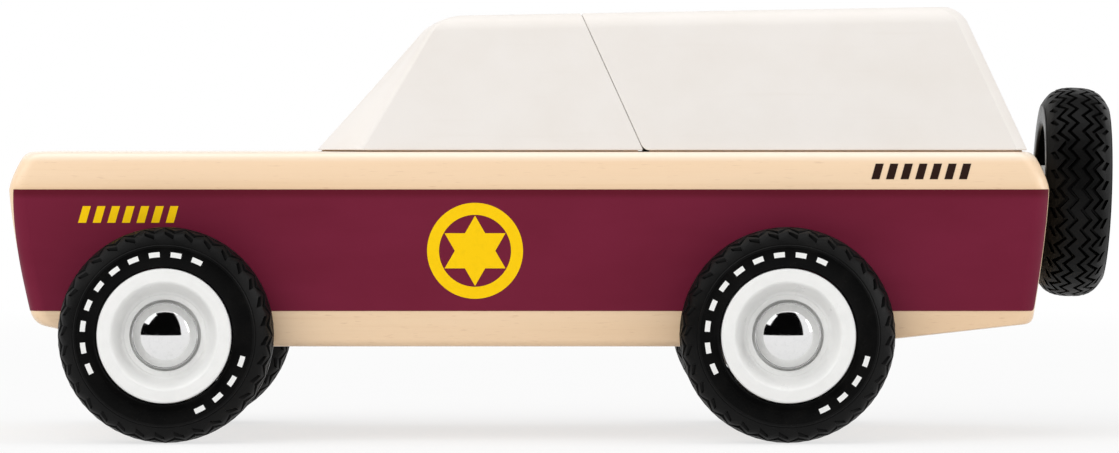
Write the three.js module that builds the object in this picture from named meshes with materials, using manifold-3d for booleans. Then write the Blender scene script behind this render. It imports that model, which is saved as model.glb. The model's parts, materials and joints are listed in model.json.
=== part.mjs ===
// Wooden toy off-road car: a solid beech body with a painted cab block, a lift-off hardtop held by
// magnets, two axles with rubber-tyred wheels, and a spare wheel that spins on the tail.
// Millimetres, +Z up. The nose points to -X and the car's left side faces -Y. While the pieces are
// laid out, X is measured from the nose and Z from the ground.

import * as THREE from 'three';
import { mergeVertices } from 'three/addons/utils/BufferGeometryUtils.js';
import Module from 'manifold-3d';

// Clearances
const PRESS_GAP = 0.2; // around pieces pushed or glued into a hole
const RUN_GAP = 0.25; // around pieces that turn
const SEAT_GAP = 0.3; // between blocks that lie on one another
const SEAM_GAP = 0.5; // between the cab and the hardtop, along X
const CUT_OVERLAP = 2; // how far a cutting shape runs past the face it opens

// Body block
const BODY_LENGTH = 175;
const BODY_WIDTH = 55;
const BODY_HEIGHT = 32.7; // belly to deck
const BELLY_DROP = 2.2; // belly below the axle line
const BELLY_EDGE = 1.2; // eased long edges of the belly
const SHOULDER_RISE = 6.3; // height of the rounded shoulder below the deck
const SHOULDER_RUN = 3.2; // how far the shoulder comes in at the deck
const CORNER_RADIUS = 3; // upright corners of the block, seen from above
const NOSE_RAKE = 5; // the nose falling back below its ridge, down to the belly
const TAIL_RAKE = 3.5; // the tail falling forward below its ridge, down to the belly
const RAKE_POWER = 1.35; // how the nose and tail curve away below the ridge
const FRONT_SWEEP_RISE = 3.8; // belly rising towards the nose
const REAR_SWEEP_RISE = 3.8; // belly rising towards the tail
const FRONT_SWEEP_LEAD = 0.5; // flat belly ahead of the front axle carrier
const REAR_SWEEP_LEAD = 1.9; // flat belly behind the rear axle carrier
const FOOT_RADIUS = 2.2; // rounded lower edge of nose and tail

// Axles
const FRONT_AXLE_X = 27; // behind the nose
const WHEELBASE = 103.6;
const AXLE_RADIUS = 1.25;
const AXLE_END = 0.8; // axle standing past the floor of the hub pocket
const CARRIER_LENGTH = 11; // axle carrier along the car
const CARRIER_HEIGHT = 6;
const CARRIER_INSET = 0.1; // carrier below the belly's surface
const CARRIER_BOSS_RADIUS = 2.1;
const WHEEL_SPACER = 0.8; // carrier boss standing out of the body's side
const CARRIER_SCREW_X = 3.2; // carrier screws beside the axle
const CARRIER_SCREW_Y = 13; // carrier screws from the middle
const CARRIER_SCREW_RADIUS = 0.9;
const CARRIER_SCREW_HEAD_RADIUS = 1.6;
const CARRIER_SCREW_HEAD_HEIGHT = 1;
const CARRIER_SCREW_LENGTH = 13;
const SCREW_POINT = 2; // length of a screw's tapered point

// Wheels: distances along the axle are from the tyre's middle plane, outwards
const TYRE_RADIUS = 18;
const TYRE_WIDTH = 11.5; // over the sidewalls
const SIDEWALL_BULGE_RADIUS = 13; // where the sidewall is widest
const SIDEWALL_RADIUS = 15.1; // where the sidewall meets the lugs
const SIDEWALL_DROP = 0.3; // sidewall narrowing at its two edges
const TREAD_WIDTH = 10; // over the shoulder lugs
const SHOULDER_DROP = 1.7; // lugs lower than the crown
const LUG_COUNT = 32;
const LUG_NOTCH = 0.7; // depth of the notches between shoulder lugs
const RIB_DROP = 0.25; // outer ribs lower than the centre rib
const GROOVE_OFFSET = 1.6; // tread groove from the middle plane
const GROOVE_WIDTH = 0.8;
const GROOVE_DEPTH = 1;
const GROOVE_ZIGZAG = 0.7; // sideways swing of the grooves
const RIM_RADIUS = 11.2;
const RIM_FACE = 5.6; // outer face of the rim
const BARREL_BACK = 3.4; // inner edge of the rim's barrel
const HUB_BACK = 5.3; // inner end of the rim's hub
const RIM_WALL = 1.6;
const RIM_EDGE = 0.4; // eased edge of the face
const FACE_RING = 2.3; // width of the rim's flat ring
const DISH_DEPTH = 3.4; // dish floor behind the face
const DISH_FLOOR_RADIUS = 5.9;
const HUB_RADIUS = 4.4;
const HUB_POCKET_RADIUS = 3.2;
const HUB_POCKET_DEPTH = 3;
const CAP_RADIUS = 5.5;
const CAP_BEAD = 0.7; // straight bead round the foot of the dome
const CAP_HEIGHT = 3.2;
const CAP_STEM_LENGTH = 1;

// Cab block and hardtop
const CAB_NOSE_X = 50.9; // foot of the windscreen, at the centre line
const CAB_REAR_X = 106.7; // foot of the cab's back
const CAB_SET_IN = 0.4; // cab and hardtop inside the edge of the deck
const CAB_HEIGHT = 22.6; // deck to roof over the windscreen's foot
const TUMBLEHOME = 3; // each side leaning in between deck and roof
const WINDSCREEN_LEAN = 42.3; // degrees from upright
const WINDSCREEN_BOW = 8; // windscreen bowing forward at its foot
const WINDSCREEN_TOP_BOW = 1; // and at the roof
const SEAM_LEAN = 25.2; // degrees, cab back and hardtop front leaning forward
const HARDTOP_REAR_INSET = 0.3; // hardtop inside the rear edge of the deck
const HARDTOP_REAR_LEAN = 26.6; // degrees
const HARDTOP_CORNER = 2.5; // upright rear corners of the hardtop
const CAB_CORNER = 0.8; // upright edges of the cab
const ROOF_RISE = 0.018; // roof climbing rearwards, per millimetre
const ROOF_ROUND = 2.6; // rounding along the roof's edges
const BROW_ROUND = 4; // longer rounding over the windscreen
const DOWEL_RADIUS = 4;
const DOWEL_LENGTH = 20;
const DOWEL_FROM_SEAM = 16; // rear dowel ahead of the cab's back
const DOWEL_SPACING = 18;
const MAGNET_RADIUS = 4;
const MAGNET_HEIGHT = 3;
const MAGNET_INSET = 0.1; // magnets below the surface
const MAGNET_FROM_SEAM = 17; // front magnets behind the cab's back
const MAGNET_FROM_SCREW = 5; // rear magnets ahead of the spare screw's point

// Spare wheel
const SPARE_DROP = 7; // spare's middle below the deck
const SPARE_TILT = 2; // degrees, top leaning back
const SPARE_CLEARANCE = 0.15; // tyre from the tail
const WASHER_RADIUS = 4;
const WASHER_THICKNESS = 0.8;
const SPARE_SCREW_HEAD_RADIUS = 2.7;
const SPARE_SCREW_HEAD_HEIGHT = 1.5;
const SPARE_SCREW_HEAD_EDGE = 0.75; // straight edge under the head's rounding
const SPARE_SCREW_GRIP = 16; // screw inside the body

// Facets
const RIM_STEPS = 24;
const ROUND_STEPS = 16; // hub caps, dowels, magnets and washers
const SMALL_STEPS = 12; // axles and screws
const CORNER_STEPS = 3; // each rounded corner
const BOW_STEPS = 8; // windscreen across its bow
const SHOULDER_STEPS = 4;
const RAKE_STEPS = 4;
const ROOF_STEPS = 3;
const DISH_STEPS = 3;
const DOME_STEPS = 3;

const AXLE_Z = TYRE_RADIUS;
const BELLY_Z = AXLE_Z - BELLY_DROP;
const DECK_Z = BELLY_Z + BODY_HEIGHT;
const RIDGE_Z = DECK_Z - SHOULDER_RISE;
const REAR_AXLE_X = FRONT_AXLE_X + WHEELBASE;
const HALF_BODY = BODY_WIDTH / 2;
const HALF_DECK = HALF_BODY - SHOULDER_RUN;
const HALF_CAB = HALF_DECK - CAB_SET_IN;
const WHEEL_Y = HALF_BODY + WHEEL_SPACER + RUN_GAP + HUB_BACK;
const DISH_FLOOR = RIM_FACE - DISH_DEPTH;
const POCKET_FLOOR = DISH_FLOOR - HUB_POCKET_DEPTH;
const HUB_BORE = AXLE_RADIUS + PRESS_GAP;
const CAB_FOOT_Z = DECK_Z + SEAT_GAP;
const HARDTOP_REAR_X = BODY_LENGTH - SHOULDER_RUN - HARDTOP_REAR_INSET;
const CARRIER_FOOT_Z = BELLY_Z + CARRIER_INSET;

const radians = THREE.MathUtils.degToRad;
const lerp = THREE.MathUtils.lerp;
const slope = (degrees) => Math.tan(radians(degrees));

const wasm = await Module();
wasm.setup();

// Mesh helpers

// Turns every face outwards, by the sign of the enclosed volume.
function facedOut(geometry) {
  const position = geometry.attributes.position;
  const index = geometry.index.array;
  const corners = [0, 1, 2].map(() => new THREE.Vector3());
  let volume = 0;
  for (let i = 0; i < index.length; i += 3) {
    corners.forEach((corner, k) => corner.fromBufferAttribute(position, index[i + k]));
    volume += corners[0].dot(corners[1].clone().cross(corners[2]));
  }
  if (volume < 0) {
    for (let i = 0; i < index.length; i += 3) {
      [index[i], index[i + 1]] = [index[i + 1], index[i]];
    }
  }
  return geometry;
}

function geometryOf(positions, triangles) {
  const geometry = new THREE.BufferGeometry();
  geometry.setAttribute('position', new THREE.Float32BufferAttribute(positions, 3));
  geometry.setIndex(triangles);
  return facedOut(geometry);
}

// Triangles between two closed rings, where the finer ring may have twice as many points.
function ringBand(first, firstCount, second, secondCount) {
  const triangles = [];
  const coarseCount = Math.min(firstCount, secondCount);
  for (let k = 0; k < coarseCount; k += 1) {
    const next = (k + 1) % coarseCount;
    if (firstCount === secondCount) {
      triangles.push(first + k, second + k, second + next);
      triangles.push(first + k, second + next, first + next);
      continue;
    }
    const flip = firstCount > secondCount;
    const coarse = flip ? second : first;
    const fine = flip ? first : second;
    const fan = [
      [coarse + k, fine + 2 * k, fine + 2 * k + 1],
      [coarse + k, fine + 2 * k + 1, coarse + next],
      [coarse + next, fine + 2 * k + 1, fine + 2 * next],
    ];
    fan.forEach(([a, b, c]) => triangles.push(...(flip ? [b, a, c] : [a, b, c])));
  }
  return triangles;
}

// A closed skin over rings of points: a ring of rings, or a stack with flat ends.
function skin(rings, isLoop) {
  const positions = [];
  const starts = [];
  for (const ring of rings) {
    starts.push(positions.length / 3);
    ring.forEach((point) => positions.push(point.x, point.y, point.z));
  }
  const triangles = [];
  const bands = isLoop ? rings.length : rings.length - 1;
  for (let i = 0; i < bands; i += 1) {
    const j = (i + 1) % rings.length;
    triangles.push(...ringBand(starts[i], rings[i].length, starts[j], rings[j].length));
  }
  if (!isLoop) {
    const last = rings.length - 1;
    for (let k = 1; k < rings[0].length - 1; k += 1) {
      triangles.push(starts[0], starts[0] + k, starts[0] + k + 1);
      triangles.push(starts[last], starts[last] + k + 1, starts[last] + k);
    }
  }
  return geometryOf(positions, triangles);
}

// A turned piece: [radius, height] pairs about the Y axis, closed on itself or along the axis.
function turned(profile, steps) {
  const points = profile.map(([radius, height]) => new THREE.Vector2(radius, height));
  points.push(points[0].clone());
  const lathe = new THREE.LatheGeometry(points, steps);
  lathe.deleteAttribute('normal');
  lathe.deleteAttribute('uv');
  const merged = mergeVertices(lathe);
  merged.setIndex(wholeFaces(merged.index.array));
  return facedOut(merged);
}

// Leaves out faces that shrink to a line where a profile meets its axis.
function wholeFaces(index) {
  const kept = [];
  for (let i = 0; i < index.length; i += 3) {
    const corners = Array.from(index.slice(i, i + 3));
    if (new Set(corners).size === corners.length) {
      kept.push(...corners);
    }
  }
  return kept;
}

// A plain round bar about the Y axis.
function bar(radius, from, to, steps = ROUND_STEPS) {
  const geometry = new THREE.CylinderGeometry(radius, radius, to - from, steps);
  return geometry.translate(0, (from + to) / 2, 0);
}

// The same bar standing up along Z.
function uprightBar(radius, x, y, from, to, steps = ROUND_STEPS) {
  return bar(radius, from, to, steps).rotateX(Math.PI / 2).translate(x, y, 0);
}

function block(x0, x1, y0, y1, z0, z1) {
  const geometry = new THREE.BoxGeometry(x1 - x0, y1 - y0, z1 - z0);
  return geometry.translate((x0 + x1) / 2, (y0 + y1) / 2, (z0 + z1) / 2);
}

function solid(geometry) {
  const bare = geometry.clone();
  bare.deleteAttribute('normal');
  bare.deleteAttribute('uv');
  const merged = mergeVertices(bare);
  const mesh = new wasm.Mesh({
    numProp: 3,
    vertProperties: new Float32Array(merged.attributes.position.array),
    triVerts: new Uint32Array(merged.index.array),
  });
  return new wasm.Manifold(mesh);
}

function shaped(base, { joins = [], cuts = [] }) {
  let result = solid(base);
  for (const piece of joins) {
    result = result.add(solid(piece));
  }
  for (const piece of cuts) {
    result = result.subtract(solid(piece));
  }
  const mesh = result.getMesh();
  return geometryOf(Array.from(mesh.vertProperties), Array.from(mesh.triVerts));
}

// A level outline with rounded corners. The front edge may bow forward in its middle.
function levelOutline({ front, rear, half, frontCorner, rearCorner, bow = 0, bowSteps = 1, height }) {
  const points = [];
  const corner = (x, y, radius, fromDegrees, isFront) => {
    for (let k = 0; k <= CORNER_STEPS; k += 1) {
      const angle = radians(fromDegrees + (90 * k) / CORNER_STEPS);
      const px = x + radius * Math.cos(angle);
      const py = y + radius * Math.sin(angle);
      points.push([isFront ? px + bow * (py / half) ** 2 : px, py]);
    }
  };
  corner(rear - rearCorner, rearCorner - half, rearCorner, -90, false);
  corner(rear - rearCorner, half - rearCorner, rearCorner, 0, false);
  corner(front + frontCorner, half - frontCorner, frontCorner, 90, true);
  for (let k = 1; k < bowSteps; k += 1) {
    const py = lerp(half - frontCorner, frontCorner - half, k / bowSteps);
    points.push([front + bow * (py / half) ** 2, py]);
  }
  corner(front + frontCorner, frontCorner - half, frontCorner, 180, true);
  return points.map(([x, y]) => new THREE.Vector3(x, y, height(x)));
}

function finish(color, roughness, metalness = 0) {
  return new THREE.MeshStandardMaterial({ color, roughness, metalness });
}

const beech = () => finish(0xf0d3b0, 0.5);
const whitePaint = () => finish(0xede7e3, 0.4);
const whitePlastic = () => finish(0xe8e8e6, 0.35);
const rubber = () => finish(0x1b1a19, 0.75);
const chrome = () => finish(0xd9d9d9, 0.12, 1);
const steel = () => finish(0xa9abad, 0.35, 1);
const nylon = () => finish(0x2b2b2d, 0.5);

function piece(name, geometry, material) {
  const mesh = new THREE.Mesh(geometry, material);
  mesh.name = name;
  return mesh;
}

// Body block

// The shoulder is one arc, upright at the ridge, through the given rise and run.
function shoulderPoint(share) {
  const end = 2 * Math.atan2(SHOULDER_RUN, SHOULDER_RISE);
  const radius = SHOULDER_RISE / Math.sin(end);
  const angle = end * share;
  return { inset: radius * (1 - Math.cos(angle)), z: RIDGE_Z + radius * Math.sin(angle) };
}

// How much of their full rake the nose and tail have at a height.
function rakeShare(z) {
  return (Math.max(0, RIDGE_Z - z) / (RIDGE_Z - BELLY_Z)) ** RAKE_POWER;
}

const noseX = (z) => NOSE_RAKE * rakeShare(z);
const tailX = (z) => BODY_LENGTH - TAIL_RAKE * rakeShare(z);

function bodyLevel(z, inset) {
  return levelOutline({
    front: noseX(z) + inset,
    rear: tailX(z) - inset,
    half: HALF_BODY - inset,
    frontCorner: CORNER_RADIUS,
    rearCorner: CORNER_RADIUS,
    height: () => z,
  });
}

function bodyBlank() {
  const levels = [bodyLevel(BELLY_Z, BELLY_EDGE)];
  for (let k = 0; k < RAKE_STEPS; k += 1) {
    levels.push(bodyLevel(lerp(BELLY_Z + BELLY_EDGE, RIDGE_Z, k / RAKE_STEPS), 0));
  }
  for (let k = 0; k <= SHOULDER_STEPS; k += 1) {
    const { inset, z } = shoulderPoint(k / SHOULDER_STEPS);
    levels.push(bodyLevel(z, inset));
  }
  return skin(levels, false);
}

// What is sawn off under one end: a rising belly that rounds up into the nose or the tail.
function sweepCut(startX, endXAt, rise) {
  const footZ = BELLY_Z + rise;
  const footX = endXAt(footZ);
  const outward = Math.sign(footX - startX);
  const pitch = rise / Math.abs(footX - startX);
  const tangentX = footX - outward * FOOT_RADIUS;
  const liftZ = footZ + FOOT_RADIUS;
  const farX = endXAt(RIDGE_Z) + outward * CUT_OVERLAP;
  const outline = new THREE.Shape();
  outline.moveTo(startX, BELLY_Z);
  outline.lineTo(tangentX, BELLY_Z + pitch * Math.abs(tangentX - startX));
  outline.quadraticCurveTo(footX, footZ, endXAt(liftZ), liftZ);
  outline.lineTo(farX, liftZ);
  outline.lineTo(farX, BELLY_Z - CUT_OVERLAP);
  outline.lineTo(startX, BELLY_Z - CUT_OVERLAP);
  outline.closePath();
  const depth = BODY_WIDTH + 2 * CUT_OVERLAP;
  const options = { depth, bevelEnabled: false, curveSegments: CORNER_STEPS };
  return new THREE.ExtrudeGeometry(outline, options).rotateX(Math.PI / 2).translate(0, depth / 2, 0);
}

function carrierSlot(axleX) {
  const reach = CARRIER_LENGTH / 2 + PRESS_GAP;
  const side = HALF_BODY + CUT_OVERLAP;
  const top = CARRIER_FOOT_Z + CARRIER_HEIGHT + PRESS_GAP;
  return block(axleX - reach, axleX + reach, -side, side, BELLY_Z - CUT_OVERLAP, top);
}

function carrierScrewPlaces(axleX) {
  return [-1, 1].map((side) => [axleX + side * CARRIER_SCREW_X, side * CARRIER_SCREW_Y]);
}

function carrierScrewBores(axleX) {
  const radius = CARRIER_SCREW_RADIUS + PRESS_GAP;
  const top = CARRIER_FOOT_Z + CARRIER_SCREW_LENGTH + PRESS_GAP;
  const places = carrierScrewPlaces(axleX);
  return places.map(([x, y]) => uprightBar(radius, x, y, CARRIER_FOOT_Z, top, SMALL_STEPS));
}

const DOWEL_PLACES = [CAB_REAR_X - DOWEL_FROM_SEAM - DOWEL_SPACING, CAB_REAR_X - DOWEL_FROM_SEAM];
const DOWEL_FOOT_Z = (DECK_Z + CAB_FOOT_Z) / 2 - DOWEL_LENGTH / 2;

function dowelBores() {
  const radius = DOWEL_RADIUS + PRESS_GAP;
  const from = DOWEL_FOOT_Z - PRESS_GAP;
  const to = DOWEL_FOOT_Z + DOWEL_LENGTH + PRESS_GAP;
  return DOWEL_PLACES.map((x) => uprightBar(radius, x, 0, from, to));
}

// The spare wheel's own frame: Y along its axle, pointing away from the tail.
const SPARE_AXIS = new THREE.Vector3(Math.cos(radians(SPARE_TILT)), 0, -Math.sin(radians(SPARE_TILT)));
const SPARE_TURN = new THREE.Quaternion().setFromUnitVectors(new THREE.Vector3(0, 1, 0), SPARE_AXIS);
const SPARE_Z = DECK_Z - SPARE_DROP;
const SPARE_LEAN = Math.max(0, RIDGE_Z - SPARE_Z) * slope(SPARE_TILT);
const SPARE_X = BODY_LENGTH + SPARE_CLEARANCE + TYRE_WIDTH / 2 / Math.cos(radians(SPARE_TILT)) - SPARE_LEAN;
const SPARE_CENTRE = new THREE.Vector3(SPARE_X, 0, SPARE_Z);
const SPARE_FRAME = new THREE.Matrix4().compose(SPARE_CENTRE, SPARE_TURN, new THREE.Vector3(1, 1, 1));
const WASHER_FACE = -HUB_BACK - SEAT_GAP;
const SPARE_SEAT = WASHER_FACE - WASHER_THICKNESS - SEAT_GAP;
const SPARE_SCREW_POINT = SPARE_SEAT - SPARE_SCREW_GRIP;

function spareSeatCuts() {
  const face = bar(WASHER_RADIUS + SEAT_GAP, SPARE_SEAT, TYRE_WIDTH / 2);
  const bore = bar(AXLE_RADIUS + SEAT_GAP, SPARE_SCREW_POINT - SEAT_GAP, 0, SMALL_STEPS);
  return [face, bore].map((cut) => cut.applyMatrix4(SPARE_FRAME));
}

const SCREW_POINT_X = new THREE.Vector3(0, SPARE_SCREW_POINT, 0).applyMatrix4(SPARE_FRAME).x;
const MAGNET_PLACES = [CAB_REAR_X + MAGNET_FROM_SEAM, SCREW_POINT_X - MAGNET_FROM_SCREW];

function magnetPockets(from, to) {
  return MAGNET_PLACES.map((x) => uprightBar(MAGNET_RADIUS + PRESS_GAP, x, 0, from, to));
}

function bodyBlock() {
  const reach = CARRIER_LENGTH / 2;
  const frontStart = FRONT_AXLE_X - reach - FRONT_SWEEP_LEAD;
  const rearStart = REAR_AXLE_X + reach + REAR_SWEEP_LEAD;
  const cuts = [
    sweepCut(frontStart, noseX, FRONT_SWEEP_RISE),
    sweepCut(rearStart, tailX, REAR_SWEEP_RISE),
    ...[FRONT_AXLE_X, REAR_AXLE_X].map(carrierSlot),
    ...[FRONT_AXLE_X, REAR_AXLE_X].flatMap(carrierScrewBores),
    ...dowelBores(),
    ...magnetPockets(DECK_Z - MAGNET_INSET - MAGNET_HEIGHT - PRESS_GAP, DECK_Z + CUT_OVERLAP),
    ...spareSeatCuts(),
  ];
  return piece('body_block', shaped(bodyBlank(), { cuts }), beech());
}

// Axle carriers, let into the belly

function carrier(name, axleX) {
  const reach = CARRIER_LENGTH / 2;
  const top = CARRIER_FOOT_Z + CARRIER_HEIGHT;
  const beam = block(axleX - reach, axleX + reach, -HALF_BODY, HALF_BODY, CARRIER_FOOT_Z, top);
  const bossEnd = HALF_BODY + WHEEL_SPACER;
  const boss = bar(CARRIER_BOSS_RADIUS, -bossEnd, bossEnd, SMALL_STEPS).translate(axleX, 0, AXLE_Z);
  const boreEnd = bossEnd + CUT_OVERLAP;
  const bore = bar(AXLE_RADIUS + RUN_GAP, -boreEnd, boreEnd, SMALL_STEPS).translate(axleX, 0, AXLE_Z);
  const screwHoles = carrierScrewPlaces(axleX).map(([x, y]) => screwSink(x, y));
  return piece(name, shaped(beam, { joins: [boss], cuts: [bore, ...screwHoles] }), nylon());
}

// Outline of a countersunk screw with its head at height zero; grow widens it all round.
function sunkScrewProfile(grow) {
  const neck = CARRIER_SCREW_HEAD_HEIGHT;
  const shank = CARRIER_SCREW_RADIUS + grow;
  return [
    [0, -grow],
    [CARRIER_SCREW_HEAD_RADIUS + grow, -grow],
    [CARRIER_SCREW_HEAD_RADIUS + grow, grow],
    [shank, neck + grow],
    [shank, CARRIER_SCREW_LENGTH - SCREW_POINT],
    [0, CARRIER_SCREW_LENGTH],
  ];
}

function placedUpright(geometry, x, y, z) {
  return geometry.rotateX(Math.PI / 2).translate(x, y, z);
}

function screwSink(x, y) {
  return placedUpright(turned(sunkScrewProfile(PRESS_GAP), SMALL_STEPS), x, y, CARRIER_FOOT_Z);
}

function carrierScrews(prefix, axleX) {
  return carrierScrewPlaces(axleX).map(([x, y], k) => {
    const geometry = turned(sunkScrewProfile(0), SMALL_STEPS);
    const name = `${prefix}_carrier_screw_${k === 0 ? 'left' : 'right'}`;
    return piece(name, placedUpright(geometry, x, y, CARRIER_FOOT_Z), steel());
  });
}

// Wheels

// One ring of tread points. Every second point may dip by the notch or swing sideways.
function treadRing(across, radius, { notch = 0, swing = 0, count = 2 * LUG_COUNT }) {
  return Array.from({ length: count }, (_, k) => {
    const angle = (2 * Math.PI * k) / count - Math.PI / 2;
    const isOdd = k % 2 === 1;
    const reach = isOdd ? radius - notch : radius;
    const y = across + (isOdd ? swing : -swing);
    return new THREE.Vector3(reach * Math.cos(angle), y, reach * Math.sin(angle));
  });
}

// Sidewall, lugged shoulder, outer rib, zigzag groove and centre rib, mirrored about the middle.
function tyre() {
  const seat = RIM_RADIUS + PRESS_GAP;
  const halfWidth = TYRE_WIDTH / 2;
  const smooth = { count: LUG_COUNT };
  const rib = TYRE_RADIUS - RIB_DROP;
  const floor = TYRE_RADIUS - GROOVE_DEPTH;
  const swing = { swing: GROOVE_ZIGZAG };
  const inner = GROOVE_OFFSET - GROOVE_WIDTH / 2;
  const outer = GROOVE_OFFSET + GROOVE_WIDTH / 2;
  const side = (sign) => [
    treadRing(sign * (halfWidth - SIDEWALL_DROP), seat, smooth),
    treadRing(sign * halfWidth, SIDEWALL_BULGE_RADIUS, smooth),
    treadRing(sign * (halfWidth - SIDEWALL_DROP), SIDEWALL_RADIUS, smooth),
    treadRing((sign * TREAD_WIDTH) / 2, TYRE_RADIUS - SHOULDER_DROP, { notch: LUG_NOTCH }),
    treadRing(sign * outer, rib, swing),
    treadRing(sign * GROOVE_OFFSET, floor, swing),
    treadRing(sign * inner, TYRE_RADIUS, swing),
  ];
  return skin([...side(1), ...side(-1).reverse()], true);
}

// A moulded rim: flat face ring, smooth dish, pocket for the cap, hub tube and open back.
function rim() {
  const ringInside = RIM_RADIUS - FACE_RING;
  const barrelInside = RIM_RADIUS - RIM_WALL;
  const webBack = DISH_FLOOR - RIM_WALL;
  const profile = [
    [HUB_BORE, -HUB_BACK],
    [HUB_RADIUS, -HUB_BACK],
    [HUB_RADIUS, webBack],
    [barrelInside, RIM_FACE - 2 * RIM_WALL],
    [barrelInside, -BARREL_BACK],
    [RIM_RADIUS, -BARREL_BACK],
    [RIM_RADIUS, RIM_FACE - RIM_EDGE],
    [RIM_RADIUS - RIM_EDGE, RIM_FACE],
  ];
  for (let k = 0; k <= DISH_STEPS; k += 1) {
    const share = k / DISH_STEPS;
    const fall = (1 - Math.cos(Math.PI * share)) / 2;
    profile.push([lerp(ringInside, DISH_FLOOR_RADIUS, share), lerp(RIM_FACE, DISH_FLOOR, fall)]);
  }
  profile.push([HUB_POCKET_RADIUS, DISH_FLOOR]);
  profile.push([HUB_POCKET_RADIUS, POCKET_FLOOR]);
  profile.push([HUB_BORE, POCKET_FLOOR]);
  return turned(profile, RIM_STEPS);
}

// A domed hub cap with a short stem that plugs the hub pocket.
function hubCap() {
  const foot = DISH_FLOOR + PRESS_GAP;
  const stem = HUB_POCKET_RADIUS - PRESS_GAP;
  const profile = [
    [0, foot - CAP_STEM_LENGTH],
    [stem, foot - CAP_STEM_LENGTH],
    [stem, foot],
    [CAP_RADIUS, foot],
  ];
  for (let k = 0; k < DOME_STEPS; k += 1) {
    const angle = (Math.PI / 2) * (k / DOME_STEPS);
    const height = CAP_BEAD + (CAP_HEIGHT - CAP_BEAD) * Math.sin(angle);
    profile.push([CAP_RADIUS * Math.cos(angle), foot + height]);
  }
  profile.push([0, foot + CAP_HEIGHT]);
  return turned(profile, ROUND_STEPS);
}

// A wheel about its own Y axis, with its outer face towards +Y.
function wheel(prefix) {
  const group = new THREE.Group();
  group.add(
    piece(`${prefix}_tyre`, tyre(), rubber()),
    piece(`${prefix}_rim`, rim(), whitePlastic()),
    piece(`${prefix}_hub_cap`, hubCap(), chrome()),
  );
  return group;
}

function wheelset(prefix, axleX) {
  const group = new THREE.Group();
  group.position.set(axleX, 0, AXLE_Z);
  const axleEnd = WHEEL_Y + POCKET_FLOOR + AXLE_END;
  group.add(piece(`${prefix}_axle`, bar(AXLE_RADIUS, -axleEnd, axleEnd, SMALL_STEPS), steel()));
  const right = wheel(`${prefix}_right`);
  right.position.y = WHEEL_Y;
  const left = wheel(`${prefix}_left`);
  left.position.y = -WHEEL_Y;
  left.rotation.z = Math.PI;
  group.add(right, left);
  return group;
}

// Spare wheel on its screw

function spareScrew() {
  const seat = POCKET_FLOOR + RUN_GAP;
  const head = seat + SPARE_SCREW_HEAD_HEIGHT;
  const profile = [
    [0, SPARE_SCREW_POINT],
    [AXLE_RADIUS, SPARE_SCREW_POINT + SCREW_POINT],
    [AXLE_RADIUS, seat],
    [SPARE_SCREW_HEAD_RADIUS, seat],
    [SPARE_SCREW_HEAD_RADIUS, seat + SPARE_SCREW_HEAD_EDGE],
    [AXLE_RADIUS, head],
    [0, head],
  ];
  return piece('spare_screw', turned(profile, SMALL_STEPS), steel());
}

function spareWasher() {
  const back = WASHER_FACE - WASHER_THICKNESS;
  const bore = AXLE_RADIUS + SEAT_GAP;
  const profile = [[bore, back], [WASHER_RADIUS, back], [WASHER_RADIUS, WASHER_FACE], [bore, WASHER_FACE]];
  return piece('spare_washer', turned(profile, ROUND_STEPS), nylon());
}

function spareWheel() {
  const group = wheel('spare');
  group.position.copy(SPARE_CENTRE);
  group.quaternion.copy(SPARE_TURN);
  group.add(spareScrew(), spareWasher());
  return group;
}

// Cab block and hardtop

// Share of the way from the cab's foot to its roof.
const climb = (z) => (z - CAB_FOOT_Z) / (CAB_HEIGHT - SEAT_GAP);

// Levels from the foot to the roof, each with its inward rounding near the top.
function roofedLevels(outlineAt) {
  const top = DECK_Z + CAB_HEIGHT;
  const levels = [outlineAt(CAB_FOOT_Z, 0)];
  for (let k = 0; k <= ROOF_STEPS; k += 1) {
    const angle = (Math.PI / 2) * (k / ROOF_STEPS);
    levels.push(outlineAt(top - ROOF_ROUND * (1 - Math.sin(angle)), 1 - Math.cos(angle)));
  }
  return levels;
}

// The roof climbs rearwards, more the higher the level lies.
function roofline(z) {
  return (x) => z + ROOF_RISE * (x - CAB_NOSE_X) * climb(z);
}

const seamX = (z) => CAB_REAR_X - slope(SEAM_LEAN) * (z - CAB_FOOT_Z);
const halfCabAt = (z, rounding) => HALF_CAB - TUMBLEHOME * climb(z) - ROOF_ROUND * rounding;

function cabLevel(z, rounding) {
  return levelOutline({
    front: CAB_NOSE_X + slope(WINDSCREEN_LEAN) * (z - CAB_FOOT_Z) + BROW_ROUND * rounding,
    rear: seamX(z),
    half: halfCabAt(z, rounding),
    frontCorner: CAB_CORNER,
    rearCorner: CAB_CORNER,
    bow: lerp(WINDSCREEN_BOW, WINDSCREEN_TOP_BOW, climb(z)),
    bowSteps: BOW_STEPS,
    height: roofline(z),
  });
}

function hardtopLevel(z, rounding) {
  return levelOutline({
    front: seamX(z) + SEAM_GAP,
    rear: HARDTOP_REAR_X - slope(HARDTOP_REAR_LEAN) * (z - CAB_FOOT_Z) - ROOF_ROUND * rounding,
    half: halfCabAt(z, rounding),
    frontCorner: CAB_CORNER,
    rearCorner: HARDTOP_CORNER,
    height: roofline(z),
  });
}

function cab() {
  const group = new THREE.Group();
  const hull = skin(roofedLevels(cabLevel), false);
  group.add(piece('cab_block', shaped(hull, { cuts: dowelBores() }), whitePaint()));
  ['front', 'rear'].forEach((place, k) => {
    const peg = uprightBar(DOWEL_RADIUS, DOWEL_PLACES[k], 0, DOWEL_FOOT_Z, DOWEL_FOOT_Z + DOWEL_LENGTH);
    group.add(piece(`cab_dowel_${place}`, peg, beech()));
  });
  return group;
}

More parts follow.
